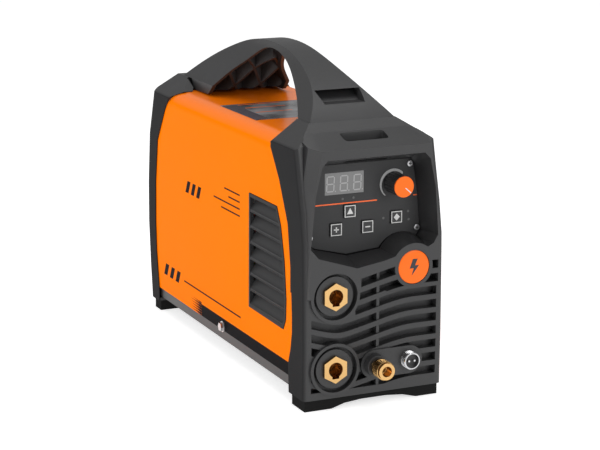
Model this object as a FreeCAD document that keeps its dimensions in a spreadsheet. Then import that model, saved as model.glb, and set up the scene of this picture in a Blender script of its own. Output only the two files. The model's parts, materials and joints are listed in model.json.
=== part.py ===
import FreeCAD, Part
import Sketcher
import math
import os

# Portable TIG inverter welding machine. Millimetres, +X to the right seen from the front, front towards -Y,
# +Z up, origin on the floor under the middle of the whole length.
V = FreeCAD.Vector
doc = FreeCAD.newDocument("tig_welder")

DIMENSIONS = [
    ("case_length", 386.0),     # front face to the rear-most point
    ("case_width", 131.6),      # across the moulded panels
    ("case_top", 240.6),        # flat top of the moulded panels
    ("handle_top", 291.0),
    ("panel_base", 10.3),       # underside of the panels, top of the feet
    ("panel_wall", 3.0),
    ("brow_lead", 2.6),         # how far the brow stands in front of the front face
    ("grille_wall", 8.0),       # depth of the louvred lower front
    ("recess_depth", 22.0),     # front face to the control plate
    ("plate_thick", 2.0),
    ("cover_inset", 1.2),       # side of the panels to the side of the cover
    ("cover_drop", 10.6),       # flat top of the panels to the top of the cover
    ("cover_base", 24.5),
    ("cover_corner", 15.0),
    ("front_corner", 4.0),      # rounding of the front panel's upright corners
    ("sheet_thick", 1.2),
    ("cover_lap", 8.0),         # how far the cover reaches under the panel lips
    ("lap_gap", 0.3),           # clearance between cover and lips
    ("fit_gap", 0.05),          # radial gap of parts that sit in round holes
    ("slide_gap", 0.2),         # gap around sliding buttons
    ("tray_floor", 15.0),
    ("tray_thick", 1.5),
    ("tray_flange", 26.0),
    ("foot_width", 127.0),
    ("foot_arch", 5.0),
    ("front_foot_length", 26.0),
    ("rear_foot_length", 16.0),
    ("socket_side", 37.5),      # sockets stand this far left of the middle
    ("lower_socket_height", 36.4),
    ("upper_socket_height", 100.1),
    ("socket_radius", 17.4),
    ("socket_seat", 20.2),      # round seat in the panel
    ("socket_rim", 22.8),       # raised rim round the seat
    ("socket_hub", 14.5),
    ("hex_across", 21.0),
    ("cable_bore", 13.0),
    ("coupler_side", 0.6),
    ("outlet_height", 36.5),
    ("coupler_reach", 26.0),    # front face to the tip of the gas coupler
    ("rear_reach", 12.0),       # rear-most point of the panel to the tip of the gas inlet
    ("coupler_bore", 9.0),
    ("sleeve_radius", 8.25),
    ("sleeve_travel", 3.0),
    ("connector_side", 32.9),
    ("connector_radius", 7.8),
    ("outlet_boss", 12.5),
    ("badge_side", 36.0),
    ("badge_height", 118.5),
    ("badge_radius", 14.6),
    ("badge_ring", 18.0),
    ("slot_pitch", 11.86),
    ("slot_height", 7.3),
    ("slot_count", 9.0),
    ("slot_top", 122.8),
    ("slot_reach", 59.5),
    ("display_width", 36.6),
    ("display_height", 19.0),
    ("display_middle", 191.5),
    ("knob_side", 28.0),
    ("knob_height", 188.0),
    ("knob_radius", 9.3),
    ("knob_length", 19.5),
    ("shaft_radius", 3.0),
    ("button_size", 11.0),
    ("button_travel", 0.8),
    ("button_proud", 1.6),
    ("vent_louvres", 7.0),
    ("fan_size", 92.0),
    ("fan_depth", 25.0),
    ("fan_height", 118.0),
    ("fan_hole", 42.0),
    ("rear_recess", 10.0),      # rear-most point to the flat rear field
    ("gland_radius", 9.0),
    ("gland_bore", 5.5),
    ("inlet_bore", 2.5),
    ("screw_radius", 1.9),
    ("plate_screw", 1.4),
]

sheet = doc.addObject("Spreadsheet::Sheet", "Sizes")
for row, (alias, value) in enumerate(DIMENSIONS, start=1):
    sheet.set("A%d" % row, alias)
    sheet.set("B%d" % row, str(value))
    sheet.setAlias("B%d" % row, alias)
doc.recompute()
S = {alias: float(sheet.get(alias)) for alias, _ in DIMENSIONS}

PARTS = []                      # every sub-part that becomes a STEP file
FRONT = "( coupler_reach - case_length - rear_reach ) / 2"
FRONT_Y = (S["coupler_reach"] - S["case_length"] - S["rear_reach"]) / 2
REAR_Y = FRONT_Y + S["case_length"]
FIT = S["fit_gap"]


# ---------------------------------------------------------------- parametric helpers
def keep(obj, label):
    """Mark an object as a finished sub-part under its own name."""
    obj.Label = label
    PARTS.append(obj)
    return obj


def sized(text):
    """Write sheet aliases without their sheet's name."""
    words = []
    for word in text.replace("(", " ( ").replace(")", " ) ").split():
        words.append("Sizes." + word if word in S else word)
    return " ".join(words)


def bind(obj, prop, text):
    obj.setExpression(prop, sized(text))


def place(obj, at, axis="z"):
    """Bind an object's position and turn its own z axis along x, y or z."""
    turns = {"x": (V(0, 1, 0), 90), "y": (V(1, 0, 0), -90), "z": (V(0, 0, 1), 0)}
    direction, angle = turns[axis]
    obj.Placement = FreeCAD.Placement(V(), FreeCAD.Rotation(direction, angle))
    for letter, text in zip("xyz", at):
        bind(obj, "Placement.Base." + letter, text)
    return obj


def block(name, at, size):
    obj = doc.addObject("Part::Box", name)
    for prop, text in zip(("Length", "Width", "Height"), size):
        bind(obj, prop, text)
    return place(obj, at)


def rod(name, at, radius, length, axis="y"):
    obj = doc.addObject("Part::Cylinder", name)
    bind(obj, "Radius", radius)
    bind(obj, "Height", length)
    return place(obj, at, axis)


def cut(name, base, tools):
    obj = doc.addObject("Part::Cut", name)
    obj.Base = base
    obj.Tool = tools[0] if len(tools) == 1 else fuse(name + "_tools", tools)
    return obj


def fuse(name, shapes):
    obj = doc.addObject("Part::MultiFuse", name)
    obj.Shapes = shapes
    return obj


def group(name, shapes):
    """Several separate solids in one sub-part."""
    obj = doc.addObject("Part::Compound", name)
    obj.Links = shapes
    return obj


def plane_of(body, role):
    for feature in body.Origin.OriginFeatures:
        if feature.Role == role:
            return feature
    raise RuntimeError("no plane " + role)


def polygon_sketch(body, name, role, points):
    """A closed outline whose corners are bound to the sheet."""
    sketch = body.newObject("Sketcher::SketchObject", name)
    sketch.AttachmentSupport = [(plane_of(body, role), "")]
    sketch.MapMode = "FlatFace"
    count = len(points)
    values = [(float(doc_value(a)), float(doc_value(b))) for a, b in points]
    for index in range(count):
        first, last = values[index], values[(index + 1) % count]
        sketch.addGeometry(Part.LineSegment(V(first[0], first[1], 0), V(last[0], last[1], 0)), False)
    for index in range(count):
        sketch.addConstraint(Sketcher.Constraint("Coincident", index, 2, (index + 1) % count, 1))
    for index, (across, up) in enumerate(points):
        for kind, text, value in (("DistanceX", across, values[index][0]), ("DistanceY", up, values[index][1])):
            number = sketch.addConstraint(Sketcher.Constraint(kind, index, 1, value))
            sketch.renameConstraint(number, "%s_%d" % (kind[-1].lower(), index))
            sketch.setExpression("Constraints.%s_%d" % (kind[-1].lower(), index), sized(text))
    return sketch


def doc_value(text):
    """The number that an expression gives now."""
    return FreeCAD.Units.Quantity(str(sheet.evalExpression(sized(text)))).Value


def padded(name, role, points, length, at):
    """A PartDesign body: a bound outline padded both ways from its plane."""
    body = doc.addObject("PartDesign::Body", name)
    sketch = polygon_sketch(body, name + "_outline", role, points)
    pad = body.newObject("PartDesign::Pad", name + "_pad")
    pad.Profile = sketch
    bind(pad, "Length", length)
    pad.Midplane = True
    body.Tip = pad
    for letter, text in zip("xyz", at):
        bind(body, "Placement.Base." + letter, text)
    return body


def formed(name, shape):
    """A moulded or bent piece whose surface no primitive gives."""
    obj = doc.addObject("Part::Feature", name)
    obj.Shape = shape
    obj.Placement = FreeCAD.Placement()
    return obj


# ---------------------------------------------------------------- shape helpers
def face_of(points):
    return Part.Face(Part.makePolygon(points + [points[0]]))


def prism_x(outline, low, high):
    """Extrude a (distance behind the front, height) outline across the machine."""
    return face_of([V(low, FRONT_Y + d, z) for d, z in outline]).extrude(V(high - low, 0, 0))


def prism_y(outline, start, end):
    """Extrude an (x, z) outline from one distance behind the front to another."""
    return face_of([V(x, FRONT_Y + start, z) for x, z in outline]).extrude(V(0, end - start, 0))


def tube_y(x, z, radius, start, end):
    return Part.makeCylinder(radius, end - start, V(x, FRONT_Y + start, z), V(0, 1, 0))


def loft(outlines):
    """Ruled solid through (x, z) outlines given with their distances behind the front."""
    wires = []
    for distance, outline in outlines:
        points = [V(x, FRONT_Y + distance, z) for x, z in outline]
        wires.append(Part.makePolygon(points + [points[0]]))
    return Part.makeLoft(wires, True, True)


def spline(points):
    curve = Part.BSplineCurve()
    curve.interpolate(points)
    return curve


def mirrored(points):
    """Close a right-hand outline with its mirror image."""
    return points + [(-x, z) for x, z in reversed(points)]


def rounded(shape, radius, wanted):
    """Round the edges that the test picks, by their middle point and direction."""
    chosen = []
    for edge in shape.Edges:
        middle = edge.valueAt((edge.FirstParameter + edge.LastParameter) / 2)
        ends = edge.lastVertex().Point - edge.firstVertex().Point
        if ends.Length > 1 and wanted(middle, ends.normalize()):
            chosen.append(edge)
    return shape.makeFillet(radius, chosen) if chosen else shape


HALF = S["case_width"] / 2
WALL = S["panel_wall"]
TOP = S["case_top"]
COVER_HALF = S["case_width"] / 2 - S["cover_inset"]
COVER_TOP = TOP - S["cover_drop"]
BASE = S["panel_base"]
LENGTH = S["case_length"]
LEAD = S["brow_lead"]
BROW = TOP - 16.0               # height of the brow's front edge
VISOR_REACH = 44.5              # where the sloped visor meets the flat top
FLAT_HALF = 41.0                # half width of the flat top
SHOULDER = TOP - 17.5           # where the sloped shoulders meet the sides


def cover_section(spread, low):
    """The cover's rounded U outline, spread outwards by a gap."""
    half = COVER_HALF + spread
    top = COVER_TOP + spread
    radius = S["cover_corner"] + spread
    centre = half - radius
    slant = radius * math.sqrt(0.5)
    right = Part.Arc(V(half, 0, top - radius), V(centre + slant, 0, top - radius + slant), V(centre, 0, top))
    left = Part.Arc(V(-centre, 0, top), V(-centre - slant, 0, top - radius + slant), V(-half, 0, top - radius))
    edges = [
        Part.LineSegment(V(half, 0, low), V(half, 0, top - radius)).toShape(),
        right.toShape(),
        Part.LineSegment(V(centre, 0, top), V(-centre, 0, top)).toShape(),
        left.toShape(),
        Part.LineSegment(V(-half, 0, top - radius), V(-half, 0, low)).toShape(),
        Part.LineSegment(V(-half, 0, low), V(half, 0, low)).toShape(),
    ]
    return Part.Face(Part.Wire(edges))


def cover_prism(spread, low, start, end):
    section = cover_section(spread, low)
    section.translate(V(0, FRONT_Y + start, 0))
    return section.extrude(V(0, end - start, 0))


# Where the front and rear panels end on the sides, as (distance, height).
FRONT_EDGE = [(32.0, BASE), (33.0, 36.0), (28.0, 50.0), (25.0, 65.0), (25.0, 80.0), (27.0, 115.0),
              (33.5, SHOULDER - 64.5), (51.0, SHOULDER - 30.0), (69.0, SHOULDER - 5.0), (69.0, TOP + 1.0)]
REAR_EDGE = [(LENGTH - 33.0, BASE), (LENGTH - 33.0, 24.0), (LENGTH - 27.0, 62.0), (LENGTH - 26.0, 92.0),
             (LENGTH - 28.0, 134.0), (LENGTH - 35.0, SHOULDER - 47.0), (LENGTH - 57.0, SHOULDER - 14.0),
             (LENGTH - 71.0, SHOULDER + 2.0), (LENGTH - 84.0, TOP - 10.0), (LENGTH - 57.0, TOP + 1.0)]
FRONT_PROFILE = [(1.0, BASE), (0.0, 57.0), (0.5, 130.0), (0.9, 145.0), (5.8, TOP - 67.6), (12.3, TOP - 42.6),
                 (19.0, BROW + 1.5), (VISOR_REACH, TOP)]
REAR_PROFILE = [(LENGTH - 7.0, BASE), (LENGTH - 3.0, 46.0), (LENGTH, 87.0), (LENGTH - 1.0, 129.0),
                (LENGTH - 7.0, TOP - 59.6), (LENGTH - 22.0, TOP - 16.0), (LENGTH - 31.0, TOP)]


def shoulders():
    """The two sloped shoulders cut off the panels' top corners."""
    wedge = [(FLAT_HALF, TOP), (HALF + 1, SHOULDER - 0.7), (HALF + 1, TOP + 40), (FLAT_HALF, TOP + 40)]
    right = prism_y(wedge, -60, LENGTH + 10)
    return right.fuse(right.mirror(V(), V(1, 0, 0)))


def badge_arc(radius, steps):
    """Points over the badge from its right side to its left."""
    points = []
    for step in range(steps + 1):
        angle = math.radians(52 + (148 - 52) * step / steps)
        points.append((S["badge_side"] + radius * math.cos(angle), S["badge_height"] + radius * math.sin(angle)))
    return points


def recess_outline(at_floor):
    """Outline of the control recess at its rim or at its floor."""
    if at_floor:
        right = [(-43.0, TOP - 32.2), (43.0, TOP - 32.2), (47.2, TOP - 36.4), (51.2, TOP - 60.0), (54.6, 144.5),
                 (50.6, 139.5)]
        left = [(6.0, 131.5), (-17.0, 129.5), (-47.0, 137.0), (-55.0, 143.5), (-51.2, TOP - 60.0),
                (-47.2, TOP - 36.4)]
        return right + badge_arc(25.6, 8) + left
    right = [(-45.0, TOP - 23.6), (45.0, TOP - 23.6), (50.2, TOP - 29.0), (55.4, TOP - 53.6), (58.6, 145.0),
             (54.5, 138.0)]
    left = [(8.0, 127.0), (-17.7, 123.0), (-53.0, 134.5), (-60.4, 143.0), (-56.0, TOP - 53.6),
            (-50.2, TOP - 29.0)]
    return right + badge_arc(21.0, 8) + left


def slot_drop(x):
    """How far the louvres sag towards the sockets at a place across the front."""
    ease = min(max((38.0 - x) / 78.0, 0.0), 1.0)
    sag = 12.5 * ease * ease * (3 - 2 * ease)
    rise = min(max((-38.0 - x) / 22.0, 0.0), 1.0)
    return sag - 7.0 * rise


def slot_tool(top_right, height, low, high):
    """One swept louvre slot between two places across the front."""
    steps = 9
    places = [low + (high - low) * step / steps for step in range(steps + 1)]
    upper = [V(x, FRONT_Y - 6, top_right - slot_drop(x)) for x in places]
    lower = [V(x, FRONT_Y - 6, top_right - height - slot_drop(x)) for x in places]
    edges = [
        spline(upper).toShape(),
        Part.LineSegment(upper[-1], lower[-1]).toShape(),
        spline(list(reversed(lower))).toShape(),
        Part.LineSegment(lower[0], upper[0]).toShape(),
    ]
    return Part.Face(Part.Wire(edges)).extrude(V(0, S["grille_wall"] + 7, 0))


SOCKETS = [("upper", S["upper_socket_height"]), ("lower", S["lower_socket_height"])]


def front_shell():
    """Outer body of the front panel with the crowned control frame and the visor."""
    outline = FRONT_PROFILE + list(reversed(FRONT_EDGE))
    shell = prism_x(outline, -HALF, HALF)
    shell = rounded(shell, S["front_corner"], lambda m, d: abs(m.x) > HALF - 1 and m.y < FRONT_Y + 14 and m.z < TOP - 30
                    and abs(d.z) > 0.8)
    front = mirrored([(50.0, TOP + 6), (50.0, BROW), (56.4, TOP - 49.6), (60.6, 148.0), (62.4, 100.0)])
    back = mirrored([(57.0, TOP + 6), (57.0, BROW), (62.6, TOP - 53.6), (HALF, 145.0), (HALF, 100.0)])
    frame = loft([(-LEAD, front), (12.0, back)])
    frame = frame.fuse(prism_y(back, 12.0, 28.0))
    shell = shell.fuse(frame)
    above = [(-LEAD - 20, BROW - 20 * 0.35), (-LEAD, BROW), (VISOR_REACH, TOP), (LENGTH, TOP),
             (LENGTH, TOP + 60), (-LEAD - 20, TOP + 60)]
    shell = shell.cut(prism_x(above, -HALF - 5, HALF + 5))
    side = visor_side()
    shell = shell.cut(side).cut(side.mirror(V(), V(1, 0, 0)))
    return shell.cut(shoulders()).removeSplitter()


def visor_side():
    """Space above the facet between the visor and its lower outer corner."""
    kink = V(50.0, FRONT_Y - LEAD, BROW)
    corner = V(HALF, FRONT_Y + 12.0, SHOULDER + 0.6)
    ridge = V(FLAT_HALF, FRONT_Y + VISOR_REACH, TOP)
    normal = (corner - kink).cross(ridge - kink).normalize()
    slab = Part.makeBox(160, 160, 60, V(-80, -80, 0))
    slab.Placement = FreeCAD.Placement(kink, FreeCAD.Rotation(V(0, 0, 1), normal))
    return slab.common(Part.makeBox(60, 90, 90, V(20, FRONT_Y - 10, TOP - 60)))


def front_cavity():
    """Hollow behind the front panel's walls."""
    floor = S["recess_depth"] + S["plate_thick"] + WALL
    outline = [(S["grille_wall"], BASE + WALL), (S["grille_wall"], 122.0), (floor, 125.0), (floor, BROW - 14.0),
               (VISOR_REACH + 2, TOP - 5.0), (110.0, TOP - 5.0), (110.0, BASE + WALL)]
    cavity = prism_x(outline, -HALF + WALL + 0.6, HALF - WALL - 0.6)
    slope = [(FLAT_HALF - 2, TOP - 4), (HALF - 4.0, SHOULDER - 6), (HALF, SHOULDER - 6), (HALF, TOP + 9),
             (FLAT_HALF - 2, TOP + 9)]
    wedge = prism_y(slope, -60, LENGTH)
    return cavity.cut(wedge).cut(wedge.mirror(V(), V(1, 0, 0)))


def lap_rebate(edge, direction):
    """Space under a panel's lip for the cover's edge."""
    reach = S["cover_lap"] + 1.0
    region = [(d - direction * reach, z) for d, z in edge]
    region[0] = (region[0][0], BASE + WALL)
    far = 190.0
    outline = region + [(far, TOP + 1.0), (far, BASE + WALL)]
    return cover_prism(S["lap_gap"], BASE + WALL, 0, LENGTH).common(prism_x(outline, -HALF, HALF))


def front_panel_shape():
    shape = front_shell().cut(front_cavity()).cut(lap_rebate(FRONT_EDGE, 1))
    depth = S["recess_depth"] + S["plate_thick"]
    rim = recess_outline(False)
    floor = recess_outline(True)
    lead_in = [(x * 1.012, z) for x, z in rim]
    shape = shape.cut(loft([(-LEAD - 3, lead_in), (0.0, rim), (S["recess_depth"], floor)]))
    shape = shape.cut(prism_y(floor, S["recess_depth"] - 0.1, depth))
    window = [(-39.5, 142.0), (10.0, 142.0), (18.0, 150.0), (39.5, 150.0), (39.5, TOP - 36.0), (-39.5, TOP - 36.0)]
    shape = shape.cut(prism_y(window, depth - 1, depth + WALL + 1))
    slot = Part.makeBox(41.0, 14.0, 60.0, V(-22.5, FRONT_Y + 11.2, TOP - 31.0))
    shape = shape.cut(rounded(slot, 3.5, lambda m, d: abs(d.z) > 0.8))
    shape = add_outlets(shape)
    for x, z in plate_screw_places():
        shape = shape.cut(tube_y(x, z, S["plate_screw"] + FIT, depth - 1, depth + WALL + 1))
    return drilled(shape, FRONT_SCREW, 56.0)


FRONT_SCREW = 17.0
REAR_SCREW = LENGTH - 24.0
HANDLE_FRONT = 56.0
HANDLE_REAR = LENGTH - 51.0
HANDLE_SCREW_SIDE = 26.0
FOOT_SCREW_SIDE = 45.0


def plate_screw_places():
    return [(side * x, z) for side in (-1, 1) for x, z in ((43.4, TOP - 37.1), (50.8, 146.8))]


def drilled(shape, foot_place, handle_place):
    """Screw holes through a panel's base and through its flat top."""
    radius = S["screw_radius"] + 0.1
    for side in (-1, 1):
        base = V(side * FOOT_SCREW_SIDE, FRONT_Y + foot_place, BASE - 2)
        top = V(side * HANDLE_SCREW_SIDE, FRONT_Y + handle_place, TOP - 10)
        shape = shape.cut(Part.makeCylinder(radius, WALL + 4, base)).cut(Part.makeCylinder(radius, 12, top))
    return shape


def add_outlets(shape):
    """Bosses, seats and louvre slots of the lower front."""
    deep = S["grille_wall"]
    seats = []
    pads = []
    for _, height in SOCKETS:
        pads.append(tube_y(-S["socket_side"], height, S["socket_rim"], -2.0, deep))
        seats.append(tube_y(-S["socket_side"], height, S["socket_seat"], -3.0, 4.0))
        seats.append(tube_y(-S["socket_side"], height, S["socket_hub"] + FIT, 0.0, deep + 1))
    boss = S["outlet_boss"]
    middle = S["outlet_height"]
    coupler = -S["coupler_side"]
    pads.append(tube_y(coupler, middle, boss, -1.5, deep))
    pads.append(tube_y(S["connector_side"], middle, boss, -1.5, deep))
    bar = [(coupler, middle - boss), (S["connector_side"], middle - boss), (S["connector_side"], middle + boss),
           (coupler, middle + boss)]
    pads.append(prism_y(bar, -1.5, deep))
    pads.append(tube_y(S["badge_side"], S["badge_height"], S["badge_ring"], -2.5, deep))
    seats.append(tube_y(S["badge_side"], S["badge_height"], S["badge_radius"] + 0.3, -4.0, 0.5))
    seats.append(tube_y(coupler, middle, 6.0 + FIT, -3.0, deep + 1))
    seats.append(tube_y(S["connector_side"], middle, S["connector_radius"] + FIT, -3.0, deep + 1))
    slots = []
    for index in range(int(S["slot_count"])):
        top = S["slot_top"] - index * S["slot_pitch"]
        low = -59.0 if index >= 3 else -14.0 - 2 * index
        slots.append(slot_tool(top, S["slot_height"], low, S["slot_reach"]))
    divider = prism_y([(2.4, 10.0), (5.0, 10.0), (5.0, 130.0), (2.4, 130.0)], 1.2, deep + 2)
    solid_pads = pads[0].fuse(pads[1:])
    sill = prism_y([(-HALF, 0), (HALF, 0), (HALF, BASE + 6.5), (-HALF, BASE + 6.5)], -10, deep + 2)
    holes = slots[0].fuse(slots[1:]).cut(solid_pads).cut(divider).cut(sill)
    return shape.cut(holes).fuse(solid_pads).cut(seats[0].fuse(seats[1:]))


def grille_filter_shape():
    """Black dust mat behind the louvres, cut out round the sockets and the outlets."""
    low, high = S["tray_floor"] + S["tray_thick"] + 0.4, 121.4
    near = S["grille_wall"] + 0.2
    mat = prism_y([(-61.0, low), (61.0, low), (61.0, high), (-61.0, high)], near, near + 1.2)
    for _, height in SOCKETS:
        mat = mat.cut(tube_y(-S["socket_side"], height, S["socket_hub"] + 0.4, near - 1, near + 3))
    mat = mat.cut(tube_y(-S["coupler_side"], S["outlet_height"], 6.4, near - 1, near + 3))
    return mat.cut(tube_y(S["connector_side"], S["outlet_height"], S["connector_radius"] + 0.4, near - 1, near + 3))


def rear_panel_shape():
    outline = REAR_PROFILE + list(reversed(REAR_EDGE))
    shell = prism_x(outline, -HALF, HALF)
    shell = shell.cut(prism_x([(0, TOP), (LENGTH + 9, TOP), (LENGTH + 9, TOP + 9), (0, TOP + 9)], -HALF, HALF))
    shell = shell.cut(shoulders()).removeSplitter()
    shell = rounded(shell, 9.0, lambda m, d: abs(m.x) > HALF - 1 and m.y > REAR_Y - 20 and abs(d.x) < 0.2)
    flat = LENGTH - S["rear_recess"]
    inner = flat - WALL
    hollow = [(200.0, BASE + WALL), (inner, BASE + WALL), (inner, TOP - 60.0), (LENGTH - 36.0, TOP - 5.0),
              (200.0, TOP - 5.0)]
    cavity = prism_x(hollow, -HALF + WALL + 0.6, HALF - WALL - 0.6)
    slope = [(FLAT_HALF - 2, TOP - 4), (HALF - 4.0, SHOULDER - 6), (HALF, SHOULDER - 6), (HALF, TOP + 9),
             (FLAT_HALF - 2, TOP + 9)]
    wedge = prism_y(slope, 0, LENGTH)
    cavity = cavity.cut(wedge).cut(wedge.mirror(V(), V(1, 0, 0)))
    shell = shell.cut(cavity).cut(lap_rebate(REAR_EDGE, -1).common(rear_half()))
    gap = [(-42.5, TOP - 11.0), (42.5, TOP - 11.0), (42.5, TOP + 5), (-42.5, TOP + 5)]
    shell = shell.cut(prism_y(gap, LENGTH - 100.0, LENGTH - 59.0))
    field = [(-52.0, 22.0), (52.0, 22.0), (52.0, TOP - 70.0), (-52.0, TOP - 70.0)]
    shell = shell.cut(prism_y(field, flat, LENGTH + 5))
    shell = shell.cut(tube_y(0.0, S["fan_height"], S["fan_hole"], inner - 1, LENGTH + 5))
    for x in (-41.25, 41.25):
        for z in (S["fan_height"] - 41.25, S["fan_height"] + 41.25):
            shell = shell.cut(tube_y(x, z, 2.0, inner - 1, LENGTH))
    switch = [(-47.1, 35.4), (-18.9, 35.4), (-18.9, 56.6), (-47.1, 56.6)]
    shell = shell.cut(prism_y(switch, inner - 1, LENGTH))
    shell = shell.cut(tube_y(4.0, 46.0, S["gland_radius"] + FIT, inner - 1, LENGTH))
    shell = shell.cut(tube_y(34.0, 46.0, 5.0 + FIT, inner - 1, LENGTH))
    shell = shell.cut(tube_y(22.0, 30.0, 3.0 + FIT, inner - 1, LENGTH))
    return drilled(shell, REAR_SCREW, HANDLE_REAR)


def rear_half():
    return Part.makeBox(400, 300, 400, V(-200, REAR_Y - 120, -50))


def cover_shape():
    """Bent sheet-metal cover whose ends follow the panel lips."""
    sheet_thick = S["sheet_thick"]
    outer = cover_prism(0.0, S["cover_base"], 0, LENGTH)
    inner = cover_prism(-sheet_thick, S["cover_base"] - 5, -5, LENGTH + 5)
    shell = outer.cut(inner)
    lap = S["cover_lap"]
    front = [(d - lap, z) for d, z in FRONT_EDGE]
    rear = [(d + lap, z) for d, z in REAR_EDGE]
    front[0] = (front[0][0], 0.0)
    rear[0] = (rear[0][0], 0.0)
    front[-1] = (front[-1][0], 300.0)
    rear[-1] = (rear[-1][0], 300.0)
    shell = shell.common(prism_x(front + list(reversed(rear)), -HALF, HALF))
    for side in (-1, 1):
        opening = prism_x(vent_outline(0.0), min(0, side * HALF), max(0, side * HALF))
        shell = shell.cut(opening)
    for x, d, z in cover_screw_places():
        low = min(0, math.copysign(HALF, x))
        shell = shell.cut(Part.makeCylinder(S["screw_radius"] + 0.1, HALF, V(low, FRONT_Y + d, z), V(1, 0, 0)))
    return shell


def vent_outline(inset):
    """Outline of the side grille, drawn in by an inset, as (distance, height)."""
    return [(119.0 - inset, 168.6 - inset), (58.0 + inset * 0.6, 168.6 - inset), (49.6 + inset, 153.0),
            (42.2 + inset, 123.5), (38.6 + inset, 91.0), (39.6 + inset, 72.4), (45.0 + inset * 0.7, 62.6 + inset),
            (121.0 - inset, 63.6 + inset)]


def cover_screw_places():
    return [(side * HALF, d, 28.3) for side in (-1, 1) for d in (LENGTH / 2 - 9.0,)]


def vent_shape(side):
    """Louvred insert: a frame in the cover's opening, slanted blades and a flange behind the sheet."""
    outer = COVER_HALF
    inner = outer - S["sheet_thick"]
    gap = S["lap_gap"]
    frame = prism_x(vent_outline(gap), inner, outer + 0.6)
    flange = prism_x(vent_outline(-2.5), inner - 1.7, inner - 0.2)
    frame = frame.fuse(prism_x(vent_outline(gap), inner - 0.2, inner)).fuse(flange)
    count = int(S["vent_louvres"])
    pitch = (168.6 - 62.6 - 5.0) / count
    for index in range(count):
        low = 62.6 + 3.6 + index * pitch
        band = prism_x([(30.0, low), (130.0, low), (130.0, low + pitch - 1.0), (30.0, low + pitch - 1.0)],
                       inner - 5, outer + 2)
        frame = frame.cut(band.common(prism_x(vent_outline(3.4), inner - 5, outer + 2)))
        blade = prism_y([(outer + 0.4, low - 0.6), (outer + 0.4, low + 1.4), (inner - 4.5, low + pitch * 0.72),
                         (inner - 4.5, low + pitch * 0.72 - 2.0)], 30.0, 130.0)
        frame = frame.fuse(blade.common(prism_x(vent_outline(2.8), inner - 5, outer + 2)))
    if side < 0:
        frame = frame.mirror(V(), V(1, 0, 0))
    return frame


# ---------------------------------------------------------------- handle
HANDLE_OUTER = [(44.5, 0.0), (79.0, 23.4), (109.0, 35.6), (147.5, 46.2), (LENGTH / 2, None)]
HANDLE_INNER_FRONT = [(69.6, 0.0), (92.0, 11.9), (121.0, 25.4), (147.0, 36.9), (170.0, 43.2), (188.0, 44.6)]
HANDLE_INNER_REAR = [(209.0, 40.4), (231.0, 28.0), (251.5, 14.9), (264.0, 1.8), (276.0, -9.2)]


def handle_height(above):
    """Heights along the handle are taken from the panel top and stretch with the handle."""
    rise = S["handle_top"] - TOP
    return TOP + rise if above is None else TOP + above * (rise / 50.4 if above > 0 else 1.0)


def handle_outer_points(inset):
    """Points of the handle's arch, moved inwards by a wall."""
    front = [V(0, FRONT_Y + d, handle_height(up)) for d, up in HANDLE_OUTER]
    middle_y = FRONT_Y + LENGTH / 2
    rear = [V(0, 2 * middle_y - p.y, p.z) for p in reversed(front[:-1])]
    curve = spline(front + rear)
    if not inset:
        return curve, curve.StartPoint, curve.EndPoint
    moved = []
    for step in range(17):
        at = curve.FirstParameter + (curve.LastParameter - curve.FirstParameter) * step / 16
        tangent = curve.tangent(at)[0]
        moved.append(curve.value(at) + V(0, tangent.z, -tangent.y) * inset)
    inner = spline(moved)
    return inner, inner.StartPoint, inner.EndPoint


def handle_profile():
    """Side view of the handle as a face in the plane x = 0."""
    outer, start, end = handle_outer_points(0.0)
    rest = COVER_TOP + 0.6
    front = [V(0, FRONT_Y + d, handle_height(up)) for d, up in HANDLE_INNER_FRONT]
    rear = [V(0, FRONT_Y + d, max(handle_height(up), rest)) for d, up in HANDLE_INNER_REAR]
    inner = spline(front + rear)
    heel = FRONT_Y + LENGTH - 66.0
    edges = [
        outer.toShape(),
        Part.LineSegment(end, V(0, heel, TOP)).toShape(),
        Part.LineSegment(V(0, heel, TOP), V(0, heel - 6.0, rest)).toShape(),
        Part.LineSegment(V(0, heel - 6.0, rest), rear[-1]).toShape(),
        inner.toShape(),
        Part.LineSegment(front[0], start).toShape(),
    ]
    return Part.Face(Part.Wire(Part.__sortEdges__(edges)))


def handle_bell(inset):
    """Front view of the handle: broad feet that sweep in to a slim grip."""
    rise = S["handle_top"] - TOP
    sides = [(41.0, TOP - 15), (40.0, TOP), (22.6, TOP + 0.464 * rise), (16.2, TOP + 0.702 * rise),
             (12.6, TOP + 0.92 * rise), (12.0, TOP + rise + 6)]
    right = [V(x - inset, FRONT_Y, z) for x, z in sides]
    left = [V(-p.x, p.y, p.z) for p in right]
    edges = [
        Part.LineSegment(right[0], right[1]).toShape(),
        spline(right[1:]).toShape(),
        Part.LineSegment(right[-1], left[-1]).toShape(),
        spline(list(reversed(left[1:]))).toShape(),
        Part.LineSegment(left[1], left[0]).toShape(),
        Part.LineSegment(left[0], right[0]).toShape(),
    ]
    return Part.Face(Part.Wire(edges)).extrude(V(0, LENGTH, 0))


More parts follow.
